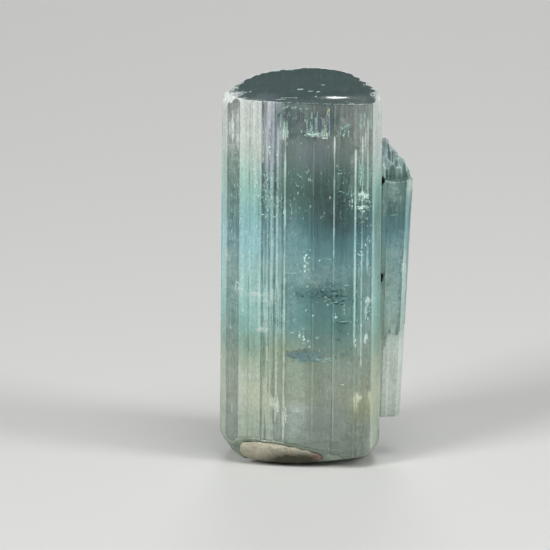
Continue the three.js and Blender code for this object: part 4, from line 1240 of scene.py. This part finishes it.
# etch marks and films that reach the surface, laid on the walls: sizes in millimetres
etchMarks = {
    "seed": 53,
    "proud": 0.008,                       # off the wall, and into it
    "sunk": 0.02,
    "step": 0.07,
    "ends": (0.7, 0.3),                   # how quickly the ends widen, and from what share
    "ragged": (0.55, 1.2),
    "bend": 0.15,
    "steepest": 0.45,                     # no marks on walls turned further away than this
    "flakeWidth": 0.09,
    "flakeLength": (0.1, 0.34),
    "flakeGap": (-0.04, 0.06),
    "flakeStart": (-0.1, 0.1),
    "flakeStray": 0.012,
    "flakeShare": (0.6, 1.25),
    "fringeEdge": (-0.1, 0.35),
    "fringeLength": (0.15, 1),
    "fringePower": 1.5,                   # above 1, few of them are long
    "fringeStray": 0.03,
    "lengths": (0.4, 1),                  # of scattered ones, as a share
    "widths": (0.6, 1.2),
    "turned": 12,                         # degrees, for most of the scattered ones
    # short ones on the front: x, z, length, width, degrees from upright, finish
    "strokes": [
        # under the rim
        (1.19, 28.6, 1.8, 0.13, 0, "pale"), (0.39, 28.4, 0.8, 0.09, 2, "pale"),
        (0.64, 28.25, 0.8, 0.08, -3, "pale"), (1.58, 28.45, 0.9, 0.26, 0, "lilac"),
        (0.9, 28.35, 1.3, 0.08, 0, "lilac"), (-1.0, 28.9, 0.7, 0.1, 4, "lilac"),
        (-1.3, 28.95, 0.5, 0.12, -8, "lilac"), (-0.5, 28.8, 0.8, 0.1, 5, "lilac"),
        (-1.77, 28.3, 0.4, 0.09, 0, "bright"), (-1.23, 28.3, 0.14, 0.12, 0, "bright"),
        (-2.32, 29.45, 0.16, 0.12, 0, "bright"), (-2.38, 26.6, 1.0, 0.08, 0, "pale"),
        (-0.7, 29.7, 0.4, 0.12, 70, "pale"), (-0.2, 29.62, 0.3, 0.1, 80, "pale"),
        (0.35, 29.66, 0.25, 0.1, 80, "pale"), (3.24, 27.55, 0.22, 0.1, -45, "bright"),
        (3.38, 27.92, 0.2, 0.08, 30, "pale"), (2.73, 27.5, 0.35, 0.07, 80, "pale"),
        (3.33, 28.2, 0.22, 0.1, 40, "dusk"), (3.0, 28.0, 0.25, 0.1, 10, "dusk"),
        (2.4, 28.6, 1.3, 0.06, 0, "dusk"),
        # the two bright fractures at the right and what lies around them
        (5.05, 23.48, 0.68, 0.1, 90, "pale"), (4.88, 21.6, 0.92, 0.26, 88, "bright"),
        (4.94, 21.25, 0.2, 0.17, 0, "bright"), (5.25, 21.4, 0.2, 0.1, 30, "pale"),
        (4.0, 22.17, 0.3, 0.11, 0, "bright"), (3.99, 21.66, 0.36, 0.12, 0, "bright"),
        (3.9, 22.64, 0.24, 0.16, 60, "pale"), (4.21, 22.7, 0.4, 0.13, 0, "pale"),
        (4.64, 24.25, 1.5, 0.07, 0, "pale"), (5.18, 24.3, 0.85, 0.09, 0, "pale"),
        (4.96, 24.85, 0.15, 0.12, 0, "pale"), (6.42, 21.35, 0.42, 0.22, 0, "bright"),
        (6.44, 20.95, 0.24, 0.2, 0, "pale"), (3.0, 24.42, 0.33, 0.13, 88, "pale"),
        (3.0, 24.68, 0.35, 0.06, 92, "pale"), (3.24, 23.64, 0.14, 0.14, 0, "pale"),
        (3.74, 23.2, 0.8, 0.09, 5, "blue"), (4.89, 20.43, 0.17, 0.15, 0, "pale"),
        (5.2, 20.75, 0.5, 0.07, 85, "pale"), (3.55, 22.3, 0.3, 0.12, 20, "dark"),
        (4.6, 23.0, 0.2, 0.2, 0, "dark"), (5.5, 22.4, 0.9, 0.12, 0, "dusk"),
        (4.7, 20.9, 0.5, 0.2, 75, "dusk"),
        # etched strip left of the middle
        (-3.25, 24.3, 0.22, 0.13, 0, "bright"), (-3.06, 24.1, 0.2, 0.12, 0, "bright"),
        (-3.26, 23.2, 0.16, 0.12, 0, "bright"), (-2.64, 26.4, 0.25, 0.13, 10, "bright"),
        (-2.62, 25.95, 0.35, 0.14, -12, "bright"), (-2.37, 25.85, 0.22, 0.1, 0, "pale"),
        (-2.05, 25.8, 0.3, 0.1, 0, "bright"), (-1.34, 25.17, 0.26, 0.15, 0, "bright"),
        (-1.39, 24.85, 0.16, 0.1, 0, "bright"), (-2.89, 22.69, 0.22, 0.12, -20, "bright"),
        (-1.94, 22.56, 0.16, 0.12, 0, "bright"), (-1.96, 22.0, 0.55, 0.06, 90, "pale"),
        (-1.93, 21.63, 0.2, 0.13, 70, "bright"), (-1.47, 21.1, 0.36, 0.1, 12, "bright"),
        (-2.25, 20.65, 0.26, 0.12, 85, "bright"), (-3.12, 20.75, 0.26, 0.1, 80, "bright"),
        (-2.68, 20.6, 0.18, 0.14, 0, "pale"), (-0.33, 24.3, 0.4, 0.07, 5, "pale"),
        (-0.4, 23.3, 0.32, 0.06, -40, "pale"), (-2.7, 23.5, 0.5, 0.2, 10, "dusk"),
        (-2.9, 21.3, 0.9, 0.1, 0, "dusk"), (-0.9, 23.7, 0.3, 0.2, 0, "dusk"),
        (-3.13, 22.0, 2.4, 0.1, 0, "dusk"),
        # below the middle
        (0.61, 17.4, 0.16, 0.15, 0, "bright"), (0.46, 16.97, 0.2, 0.17, 0, "bright"),
        (0.26, 16.7, 0.26, 0.18, 0, "bright"), (0.26, 16.28, 0.17, 0.13, 0, "bright"),
        (0.66, 18.05, 0.14, 0.1, 30, "pale"), (0.2, 17.9, 0.2, 0.1, 30, "pale"),
        (-0.13, 16.2, 0.25, 0.1, 40, "pale"), (-0.88, 16.1, 0.85, 0.06, 90, "pale"),
        (1.45, 17.2, 0.16, 0.14, 0, "bright"), (2.02, 17.36, 0.9, 0.06, 92, "pale"),
        (5.1, 18.52, 0.32, 0.12, -62, "bright"), (4.69, 17.97, 0.25, 0.1, 85, "bright"),
        (4.8, 18.12, 0.2, 0.1, 20, "dark"), (4.5, 18.35, 1.1, 0.09, 0, "dusk"),
        (4.62, 16.3, 1.0, 0.06, 0, "pale"), (2.27, 15.1, 0.35, 0.08, 88, "pale"),
        (3.6, 15.2, 0.5, 0.09, 90, "pale"), (0.49, 15.05, 0.2, 0.12, 60, "pale"),
        (2.12, 13.6, 0.15, 0.12, 0, "bright"), (2.8, 13.8, 0.5, 0.07, 90, "pale"),
        (0.4, 13.1, 0.28, 0.16, 30, "pale"), (0.94, 12.65, 0.17, 0.14, 0, "bright"),
        (2.8, 12.55, 0.22, 0.2, 90, "bright"), (2.55, 12.4, 0.4, 0.07, 0, "pale"),
        (5.35, 12.4, 0.36, 0.13, 5, "bright"), (4.15, 13.9, 0.3, 0.1, 20, "dark"),
        (5.25, 11.0, 0.5, 0.16, 0, "bright"), (5.2, 11.6, 0.4, 0.1, 5, "pale"),
        (4.35, 10.68, 0.34, 0.12, 0, "bright"), (4.35, 10.2, 0.26, 0.14, 0, "bright"),
        (4.3, 7.2, 1.3, 0.08, 0, "pale"), (-5.1, 14.95, 0.25, 0.22, 0, "bright"),
        # side crystal
        (7.55, 22.4, 0.26, 0.2, 0, "pale"), (7.89, 21.5, 0.4, 0.1, 0, "pale"),
        (7.36, 20.2, 0.65, 0.1, 88, "pale"), (7.99, 17.0, 0.55, 0.12, 0, "pale"),
        (8.7, 22.64, 0.5, 0.2, 0, "bright"), (6.43, 16.3, 0.5, 0.16, 0, "pale"),
        (8.11, 13.7, 0.35, 0.2, 0, "pale"), (7.97, 11.6, 0.3, 0.18, 0, "pale"),
        (7.12, 10.5, 0.2, 0.16, 0, "dusk"),
        # drops over the blue crack
        (-0.12, 10.93, 0.34, 0.15, 4, "bright"), (0.23, 10.78, 0.42, 0.15, -5, "bright"),
        (0.57, 10.53, 0.22, 0.15, 25, "bright"), (0.69, 10.0, 0.28, 0.13, 10, "bright"),
        (1.29, 10.8, 0.3, 0.2, 90, "pale"), (-0.73, 11.15, 0.32, 0.14, 85, "pale"),
        (-1.56, 11.3, 0.32, 0.12, 90, "pale"), (-1.95, 10.9, 0.17, 0.14, 0, "pale"),
        # tubes and clouds in the lower third
        (3.34, 7.0, 0.35, 0.08, 85, "milk"), (1.62, 6.4, 0.75, 0.06, 0, "haze"),
        (2.57, 5.9, 0.95, 0.07, 0, "haze"), (2.18, 6.2, 1.0, 0.05, 0, "haze"),
        (3.1, 5.9, 0.8, 0.06, 0, "haze"), (-1.35, 1.55, 0.3, 0.1, 25, "milk"),
        (-1.45, 1.55, 0.25, 0.08, -30, "milk"), (-1.36, 4.6, 1.9, 0.1, 0, "milk"),
        (-2.05, 4.4, 1.2, 0.1, 0, "milk"), (-2.3, 5.3, 0.6, 0.3, 0, "milk"),
        (-1.85, 5.0, 0.7, 0.16, 0, "milk"), (5.75, 4.7, 1.2, 0.14, 0, "milk"),
    ],
    # longer ones: width, finish, points as x and z
    "threads": [
        (0.2, "straw", [(1.93, 27.3), (1.9, 28.1), (1.95, 29.0), (2.1, 29.75)]),
        (0.13, "straw", [(-1.42, 27.3), (-1.45, 28.0), (-1.5, 28.5)]),
        (0.07, "bright", [(0.25, 27.6), (0.9, 27.5), (1.15, 27.7)]),
        (0.09, "bright", [(1.5, 27.3), (2.05, 27.3)]), (0.06, "pale", [(0.22, 27.85), (1.0, 27.65)]),
        (0.09, "pale", [(-1.6, 29.6), (-1.4, 29.7), (-1.15, 29.85)]),
        (0.2, "pale", [(3.1, 28.05), (3.4, 28.25), (3.75, 28.5)]),
        (0.32, "bright", [(4.48, 22.55), (4.7, 22.8), (5.0, 22.75)]),
        (0.42, "bright", [(4.9, 22.6), (5.35, 22.5)]),
        (0.2, "pale", [(4.5, 22.2), (4.8, 22.35), (5.1, 22.15), (5.35, 22.2)]),
        (0.06, "pale", [(2.83, 22.97), (3.31, 22.88), (3.8, 22.64)]),
        (0.06, "pale", [(7.86, 15.3), (7.67, 14.0), (7.52, 13.27), (7.57, 12.3)]),
        (0.06, "pale", [(-1.0, 21.8), (-0.8, 21.4), (-0.85, 20.9)]),
        (0.14, "bright", [(0.48, 17.66), (0.3, 17.6), (0.22, 17.35), (0.26, 17.05)]),
        (0.08, "bright", [(4.49, 17.85), (4.58, 17.68), (4.82, 17.66), (4.92, 17.82)]),
        (0.09, "bright",
         [(5.2, 13.5), (5.5, 13.6), (5.75, 13.3), (5.95, 13.1), (5.8, 13.45), (5.55, 13.9)]),
        (0.05, "dusk", [(-0.4, 14.9), (0.6, 14.95), (1.6, 14.95), (2.5, 15.0)]),
        (0.06, "dusk", [(-1.0, 14.5), (-0.7, 14.55), (-0.45, 14.6)]),
        (0.1, "dark", [(2.75, 12.15), (3.1, 12.0), (3.75, 12.1)]),
        (0.06, "pale", [(3.1, 12.2), (3.7, 12.25)]),
        (0.1, "pale", [(0.4, 9.15), (0.95, 9.1), (1.55, 8.92)]),
    ],
    # scattered ones: x, z, half width, half height, how many, length, width, degrees from upright, finish
    "scatters": [
        (0.3, 9.28, 1.6, 0.32, 70, 0.7, 0.08, 91, "blue"),
        (0.4, 9.6, 1.3, 0.05, 12, 0.5, 0.05, 91, "dusk"),
        (0.8, 8.84, 1.0, 0.05, 14, 0.4, 0.06, 93, "dusk"),
        (1.9, 9.1, 0.6, 0.2, 14, 0.4, 0.07, 90, "pale"),
        (1.1, 27.55, 1.0, 0.16, 22, 0.2, 0.08, 60, "bright"),
        (1.1, 27.8, 1.0, 0.25, 16, 0.3, 0.07, 10, "pale"),
        (1.7, 14.35, 1.8, 0.42, 40, 0.4, 0.1, 89, "dark"),
        (3.1, 14.0, 0.6, 0.6, 16, 0.35, 0.12, 85, "dark"),
        (1.6, 14.15, 1.9, 0.5, 30, 0.42, 0.13, 88, "dusk"),
        (3.2, 13.9, 0.7, 0.8, 16, 0.35, 0.14, 80, "dusk"),
        (1.6, 14.2, 2.0, 0.6, 12, 0.3, 0.07, 90, "pale"),
        (-2.5, 22.3, 0.7, 2.3, 34, 0.2, 0.09, 10, "pale"),
        (-2.5, 22.3, 0.7, 2.3, 24, 0.3, 0.1, 5, "dusk"), (3.2, 22.4, 0.6, 1.8, 12, 0.3, 0.12, 20, "dusk"),
        (4.8, 20.8, 0.7, 1.0, 14, 0.25, 0.1, 60, "dusk"), (4.8, 19.6, 0.6, 1.2, 8, 0.15, 0.1, 0, "pale"),
        (-0.9, 28.9, 1.1, 0.8, 30, 0.35, 0.08, 10, "lilac"),
        (0.6, 28.6, 1.3, 0.8, 14, 0.5, 0.07, 0, "lilac"),
        (-0.9, 29.2, 1.0, 0.6, 16, 0.2, 0.07, 30, "pale"),
        (-2.9, 26.8, 0.6, 1.4, 26, 0.25, 0.09, 5, "milk"),
        (-2.5, 23.2, 0.6, 1.6, 14, 0.2, 0.12, 10, "dark"),
        (3.1, 23.6, 0.7, 1.3, 12, 0.3, 0.1, 30, "dark"),
        (3.2, 28.2, 0.8, 0.8, 12, 0.25, 0.08, 30, "dusk"),
        (5.2, 13.5, 0.6, 0.7, 10, 0.25, 0.1, 40, "pale"), (5.2, 13.3, 0.6, 1.2, 12, 0.3, 0.1, 10, "dusk"),
        (-2.3, 12.6, 1.3, 1.4, 22, 0.35, 0.08, 20, "pale"),
        (0.0, 24.0, 0.9, 1.2, 8, 0.2, 0.07, 20, "pale"), (-3.0, 9.0, 1.0, 1.2, 8, 0.4, 0.08, 0, "haze"),
        (6.0, 25.0, 0.25, 2.5, 24, 0.14, 0.08, 30, "milk"),
        (5.85, 18.0, 0.12, 5.0, 40, 0.2, 0.07, 0, "bright"),
        (7.3, 21.5, 0.7, 1.2, 10, 0.2, 0.12, 20, "pale"), (6.8, 24.9, 0.7, 1.0, 26, 0.2, 0.1, 40, "pale"),
        (6.7, 25.2, 0.5, 0.8, 12, 0.14, 0.1, -20, "bright"),
        (8.2, 15.6, 0.2, 2.0, 8, 0.5, 0.08, 3, "pale"), (-5.3, 26.5, 0.5, 2.0, 16, 0.5, 0.08, 0, "pale"),
        (-5.3, 20.5, 0.5, 3.5, 16, 0.35, 0.07, 0, "pale"),
    ],
    # flakes hanging from one height to a ragged edge: x from and to, top, ragged edge, count, width, finish
    "fringes": [
        (0.2, 2.2, 29.5, 27.4, 18, 0.09, "pale"), (0.1, 2.3, 29.6, 27.6, 22, 0.1, "lilac"),
        (-1.7, -1.1, 29.2, 27.2, 8, 0.08, "pale"), (-0.6, 0.1, 29.8, 28.4, 9, 0.08, "lilac"),
        (2.6, 3.9, 28.5, 27.4, 9, 0.08, "pale"), (4.3, 5.7, 29.7, 28.0, 10, 0.08, "pale"),
        (4.4, 5.6, 26.5, 23.6, 12, 0.07, "pale"), (-2.4, -1.5, 16.0, 11.5, 10, 0.06, "dusk"),
        (-1.6, -1.1, 5.6, 3.6, 5, 0.08, "milk"), (-2.5, -1.7, 5.9, 4.6, 7, 0.1, "milk"),
        (1.4, 3.4, 6.6, 5.6, 6, 0.05, "haze"), (-4.3, -2.6, 29.4, 25.0, 14, 0.05, "milk"),
    ],
    # pits on the top: x, y, length, width, degrees from the y axis, finish
    "topPits": [
        (0.0, -1.1, 0.5, 0.3, 88, "pale"), (1.85, 0.35, 0.26, 0.2, 80, "pale"),
        (0.85, -1.75, 0.4, 0.16, 90, "pale"), (1.45, -1.9, 0.35, 0.3, 90, "pale"),
        (1.3, -2.4, 0.2, 0.25, 90, "dark"), (1.25, -3.6, 0.2, 0.3, 90, "dark"),
        (-0.9, -4.0, 1.4, 0.12, 88, "pale"), (-1.6, -4.5, 0.8, 0.1, 84, "pale"),
        (-5.1, -2.0, 0.25, 0.6, 90, "dark"), (-4.7, -2.7, 0.3, 0.4, 80, "dark"),
        (-3.7, -4.35, 1.9, 0.08, 112, "dusk"), (-0.9, 5.5, 0.7, 0.3, 90, "pale"),
        (-1.9, 5.1, 0.6, 0.2, 90, "pale"),
    ],
}


def measure(path):
    path = np.array(path)
    lengths = np.concatenate([[0], np.cumsum(np.hypot(*np.diff(path, axis=0).T))])
    return path, lengths


def placesAlong(path, lengths, places):
    return np.column_stack([np.interp(places, lengths, path[:, axis]) for axis in (0, 1)])


def growEtchMarks(build):
    draws = np.random.default_rng(etchMarks["seed"])
    shape = crystal.data
    skin = BVHTree.FromPolygons([point.co for point in shape.vertices],
                                [face.vertices for face in shape.polygons])

    def laid(place, onTop):
        # the point of the skin that a mark covers, seen from well in front or above, and the way out
        x, along = place
        if onTop:
            start, inward = Vector((x, along, 1.2 * prism["height"])), Vector((0, 0, -1))
        else:
            start, inward = Vector((x + lean * along, -3 * prism["flats"][0][0], along)), Vector((0, 1, 0))
        hit, facing = skin.ray_cast(start * mm, inward)[:2]
        squarely = hit is not None and facing.dot(-inward) > etchMarks["steepest"]
        return (hit / mm if squarely else None), -inward

    def addMark(path, width, finish, onTop=False):
        path, lengths = measure(path)
        count = max(4, int(lengths[-1] / etchMarks["step"]) + 1)
        places = np.linspace(0, lengths[-1], count)
        centres = placesAlong(path, lengths, places)
        ahead = np.gradient(centres, axis=0)
        ahead /= np.hypot(*ahead.T)[:, None]
        across = np.column_stack([-ahead[:, 1], ahead[:, 0]])
        quickly, least = etchMarks["ends"]
        taper = np.clip(np.minimum(places, lengths[-1] - places) / (quickly * width) + least, 0, 1)
        halves = width / 2 * taper * draws.uniform(*etchMarks["ragged"], count)
        lanes = np.linspace(-1, 1, max(2, round(width / etchMarks["step"]) + 1))
        loops = []
        for centre, sideways, half in zip(centres, across, halves):
            row = [laid(centre + sideways * half * lane, onTop) for lane in lanes]
            if any(hit is None for hit, outward in row):
                return
            loops.append([hit + outward * etchMarks["proud"] for hit, outward in row]
                         + [hit - outward * etchMarks["sunk"] for hit, outward in reversed(row)])
        addSkin(build, loops, finish)

    def addBundle(path, width, finish, onTop=False):
        # a mark broken into flakes that lie side by side and end to end
        path, lengths = measure(path)
        lanes = max(1, round(width / etchMarks["flakeWidth"]))
        for lane in range(lanes):
            aside = ((lane + 0.5) / lanes - 0.5) * width
            place = draws.uniform(*etchMarks["flakeStart"])
            while place < lengths[-1]:
                after = place + draws.uniform(*etchMarks["flakeLength"])
                spots = np.clip([place, (place + after) / 2, after], 0, lengths[-1])
                place = after + draws.uniform(*etchMarks["flakeGap"])
                if spots[2] - spots[0] < etchMarks["flakeWidth"]:
                    continue
                middles = placesAlong(path, lengths, spots)
                ahead = (middles[2] - middles[0]) / np.hypot(*(middles[2] - middles[0]))
                stray = aside + draws.normal(0, etchMarks["flakeStray"], (3, 1))
                flakeWidth = width / lanes * draws.uniform(*etchMarks["flakeShare"])
                addMark(middles + np.array([-ahead[1], ahead[0]]) * stray, flakeWidth, finish, onTop)

    def addStroke(x, along, length, width, tilt, finish, onTop=False, add=addMark):
        reach = np.array([math.sin(math.radians(tilt)), math.cos(math.radians(tilt))]) * length / 2
        bend = np.array([reach[1], -reach[0]]) * draws.uniform(-etchMarks["bend"], etchMarks["bend"])
        middle = np.array([x, along])
        add([middle - reach, middle + bend, middle + reach], width, finish, onTop)

    for stroke in etchMarks["strokes"]:
        addStroke(*stroke, add=addBundle)
    for pit in etchMarks["topPits"]:
        addStroke(*pit, onTop=True, add=addBundle)
    for width, finish, path in etchMarks["threads"]:
        addBundle(path, width, finish)
    for fromX, toX, top, edge, count, width, finish in etchMarks["fringes"]:
        for number in range(count):
            x = draws.uniform(fromX, toX)
            low = edge + draws.uniform(*etchMarks["fringeEdge"]) * min(1, top - edge)
            reach = draws.uniform(*etchMarks["fringeLength"]) ** etchMarks["fringePower"]
            high = low + (top - low) * reach
            path = [(x, low), (x + draws.normal(0, etchMarks["fringeStray"]), high)]
            addBundle(path, width * draws.uniform(*etchMarks["widths"]), finish)
    for x, z, wide, tall, count, length, width, tilt, finish in etchMarks["scatters"]:
        for number in range(count):
            turn = draws.uniform(0, 2 * math.pi)
            away = math.sqrt(draws.uniform(0, 1))
            addStroke(x + wide * away * math.cos(turn), z + tall * away * math.sin(turn),
                      length * draws.uniform(*etchMarks["lengths"]),
                      width * draws.uniform(*etchMarks["widths"]),
                      tilt + draws.normal(0, etchMarks["turned"]), finish)


def inclusionMaterial(name, colour, spread, roughness, clearShare):
    material, tree, sockets, coordinates = startMaterial(name)
    clouds = stretchedNoise(tree, coordinates, *inclusions["clouds"])
    tree.links.new(mixColours(tree, clouds, colour, spread), sockets["Base Color"])
    rough = rescale(tree, clouds, 0, 1, roughness, roughness + inclusions["dullest"])
    tree.links.new(rough, sockets["Roughness"])
    sockets["Transmission Weight"].default_value = clearShare
    arrangeNodes(tree)
    return material


def makeFractures():
    build = {"points": [], "faces": [], "finishes": []}
    draws = np.random.default_rng(inclusions["seed"])
    for grow in (growPlatelets, growNeedles, growCracks):
        grow(build, draws)
    growEtchMarks(build)
    piece = makePiece("healed_fractures", build["points"], build["faces"])
    piece.data.polygons.foreach_set("material_index", build["finishes"])
    skin = bmesh.new()
    skin.from_mesh(piece.data)
    bmesh.ops.recalc_face_normals(skin, faces=skin.faces)
    skin.to_mesh(piece.data)
    skin.free()
    for name, look in filmFinishes.items():
        piece.data.materials.append(inclusionMaterial(name + "_film", *look))
    return piece


healed = makeFractures()
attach(healed, "root")
print("healed fractures:", countTriangles(healed.data), "triangles")


patch = {
    # seen from above, from its right-hand end
    "outline": [(1.5, -5.1), (0.5, -4.65), (-0.8, -4.3), (-2.2, -3.95), (-3.6, -3.75), (-4.5, -3.9),
                (-4.75, -4.3), (-3.9, -4.68), (-3.1, -4.95), (-2.2, -5.2), (-1.3, -5.42), (-0.4, -5.57),
                (0.6, -5.7), (1.3, -5.76), (1.8, -5.55)],
    "middle": (-1.6, -4.8),
    "foot": 0.3,                          # clear of the ground
    "gap": 0.05,                          # under the chipped face
    "edge": 0.05,                         # least thickness
    "curl": 0.02,                         # how its ends rise off the ground
    "bulge": 0.1,                         # of its front edge
    "columns": 260,
    "rings": 44,
    "round": (0.24, 0.8),                 # below 1, its edge is blunter
    "lowest": 0.1,
    "clear": 0.03,                        # least gap under the chipped face
    "lastTurn": 0.06,                     # its end rings stop this far from the poles, in radians
    "steps": (0.06, 0.08),                # from point to point around and upwards, about
    "grain": 0.035,
    "roughness": ((0.5, 1.6), (0.2, 1.0), (0.09, 0.7)),    # size of the lumps, share of the grain
    "roughUp": 0.6,
    "seed": 41,
    "cream": display(164, 158, 136),
    "pale": display(192, 188, 170),
    # painted shade: the dark olive that the patch darkens to on its underside, where it curves under
    "shadeOlive": display(48, 46, 30),
    "brown": display(122, 98, 84),
    "clouds": ((1.6, 1.6, 3), 5, 0.65),   # noises, as for the tourmaline
    "grains": ((9, 9, 9), 4, 0.7),
    # what a noise or a place turns into: from, to, value at each
    "paleClouds": (0.35, 0.65, 0, 1),
    # painted shade, deepest low down and towards the right-hand end, broken up by the clouds
    "shadeOliveBelow": (1.75 * mm, 0.55 * mm, 0, 1.6),
    "shadeOliveRight": (-3.4 * mm, -1.0 * mm, 0.35, 1),
    "shadeOliveClouds": (0.3, 0.6, 0.75, 1.0),
    "brownEnd": (0.9 * mm, 1.6 * mm, 0, 0.8),
    "speckle": (0.3, 0.7, 0.72, 1.2),
    "dullness": (0.3, 0.7, 0.55, 0.85),
    "bump": (0.7, 0.04),                  # strength and height
}


def growPatch():
    corners = np.array(patch["outline"])
    middleX, middleY = patch["middle"]
    steps = np.linspace(0, len(corners), patch["columns"], endpoint=False)
    number = steps.astype(int)
    part = (steps - number)[:, None]
    before, start, end, after = (corners[(number + step) % len(corners)] for step in (-1, 0, 1, 2))
    # a smooth curve through the corners
    outline = 0.5 * (2 * start + (end - before) * part
                     + (2 * before - 5 * start + 4 * end - after) * part ** 2
                     + (3 * start - before - 3 * end + after) * part ** 3)
    draws = np.random.default_rng(patch["seed"])
    around, upwards = patch["steps"]
    blunt, steep = patch["round"]
    arc = np.arange(patch["columns"]) * around
    rings = []
    lastTurn = math.pi / 2 - patch["lastTurn"]
    for turn in np.linspace(-lastTurn, lastTurn, patch["rings"]):
        share = math.cos(turn) ** blunt
        x = middleX + (outline[:, 0] - middleX) * share
        y = middleY + (outline[:, 1] - middleY) * share
        y -= patch["bulge"] * share * math.cos(turn) * (outline[:, 1] < middleY)
        ceiling = breakHeight(x, y) - patch["gap"]
        foot = np.minimum(patch["foot"] + patch["curl"] * (x - middleX) ** 2, ceiling - patch["edge"])
        rise = math.copysign(abs(math.sin(turn)) ** steep, turn)
        z = (foot + ceiling) / 2 + (ceiling - foot) / 2 * rise
        rings.append(np.column_stack([x, y, z]))
    rings = np.array(rings)
    level = np.arange(patch["rings"])[:, None] * upwards
    for size, share in patch["roughness"]:
        rough = patch["grain"] * share * softNoise(draws, arc + 0 * level, level + 0 * arc, size, size)
        outward = rings[:, :, :2] - (middleX, middleY)
        outward /= np.hypot(outward[..., 0], outward[..., 1])[..., None]
        rings[:, :, :2] += outward * rough[..., None]
        rings[:, :, 2] += patch["roughUp"] * rough
    highest = breakHeight(rings[..., 0], rings[..., 1]) - patch["clear"]
    rings[..., 2] = np.clip(np.minimum(rings[..., 2], highest), patch["lowest"], None)
    return makePiece("feldspar_patch", *skinOver(rings, rings[0].mean(0), rings[-1].mean(0), 0))


def patchMaterial():
    material, tree, sockets, coordinates = startMaterial("weathered_feldspar")
    place = addNode(tree, "ShaderNodeSeparateXYZ")
    tree.links.new(coordinates, place.inputs["Vector"])
    clouds = stretchedNoise(tree, coordinates, *patch["clouds"])
    grains = stretchedNoise(tree, coordinates, *patch["grains"])
    colour = mixColours(tree, rescale(tree, clouds, *patch["paleClouds"]),
                        patch["cream"], patch["pale"])
    # painted shade: darker olive low down and towards the right, where the patch curves under
    low = rescale(tree, place.outputs["Z"], *patch["shadeOliveBelow"])
    right = rescale(tree, place.outputs["X"], *patch["shadeOliveRight"])
    under = mathNode(tree, "MULTIPLY", low, right)
    uneven = rescale(tree, clouds, *patch["shadeOliveClouds"])
    under = mathNode(tree, "MULTIPLY", under, uneven)
    colour = mixColours(tree, under, colour, patch["shadeOlive"])
    end = rescale(tree, place.outputs["X"], *patch["brownEnd"])
    colour = mixColours(tree, end, colour, patch["brown"])
    colour = tint(tree, colour, rescale(tree, grains, *patch["speckle"]))
    tree.links.new(colour, sockets["Base Color"])
    tree.links.new(rescale(tree, clouds, *patch["dullness"]), sockets["Roughness"])
    bumpUp(tree, grains, *patch["bump"])
    arrangeNodes(tree)
    return material


feldspar = growPatch()
feldspar.data.materials.append(patchMaterial())
feldspar.data.polygons.foreach_set("use_smooth", np.ones(len(feldspar.data.polygons), bool))
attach(feldspar, "root")
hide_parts("matrix_remnant")
print("feldspar patch:", countTriangles(feldspar.data), "triangles")


stage = {
    "floorSize": 2000,
    "floor": display(198, 198, 195),
    "floorRoughness": 0.8,
    "world": display(150, 153, 158),
    "worldStrength": 0.4,
    # name, place, width and height, watts
    "lights": [
        ("key_light", (-240, -220, 230), (140, 220), 1.1),
        ("side_light", (260, -120, 160), (100, 200), 0.6),
        ("top_light", (40, -90, 330), (160, 160), 0.45),
        ("back_light", (10, 300, 185), (110, 40), 0.26),
    ],
}


def makeStage():
    bpy.ops.mesh.primitive_plane_add(size=stage["floorSize"] * mm)
    floor = bpy.context.object
    floor.name = "floor"
    paper = bpy.data.materials.new("paper")
    paper.use_nodes = True
    shader = paper.node_tree.nodes["Principled BSDF"]
    shader.inputs["Base Color"].default_value = stage["floor"]
    shader.inputs["Roughness"].default_value = stage["floorRoughness"]
    floor.data.materials.append(paper)
    world = bpy.data.worlds.new("studio")
    world.use_nodes = True
    background = world.node_tree.nodes["Background"]
    background.inputs["Color"].default_value = stage["world"]
    background.inputs["Strength"].default_value = stage["worldStrength"]
    bpy.context.scene.world = world
    for name, place, size, watts in stage["lights"]:
        lamp = bpy.data.lights.new(name, "AREA")
        lamp.shape = "RECTANGLE"
        lamp.size = size[0] * mm
        lamp.size_y = size[1] * mm
        lamp.energy = watts
        light = bpy.data.objects.new(name, lamp)
        bpy.context.scene.collection.objects.link(light)
        light.location = Vector(place) * mm
        aim = Vector((0, 0, prism["height"] / 2)) - Vector(place)
        light.rotation_euler = aim.to_track_quat("-Z", "Y").to_euler()


view = {
    "elevation": 14.4,
    "distance": 1500,
    "frameWidth": 44.15,
    "aim": (-2.0, 0, 14.5),
    "sensor": 36,
    "clipStart": 10,
}


def makeCamera():
    lens = bpy.data.cameras.new("camera")
    lens.sensor_width = view["sensor"]
    lens.lens = view["sensor"] * view["distance"] / view["frameWidth"]
    lens.clip_start = view["clipStart"] * mm
    camera = bpy.data.objects.new("camera", lens)
    bpy.context.scene.collection.objects.link(camera)
    rise = math.radians(view["elevation"])
    back = Vector((0, -math.cos(rise), math.sin(rise)))
    camera.location = (Vector(view["aim"]) + back * view["distance"]) * mm
    camera.rotation_euler = (math.radians(90) - rise, 0, 0)
    bpy.context.scene.camera = camera
    bpy.context.scene.view_settings.view_transform = "Standard"


makeStage()
makeCamera()
print("stage, lights and camera set")
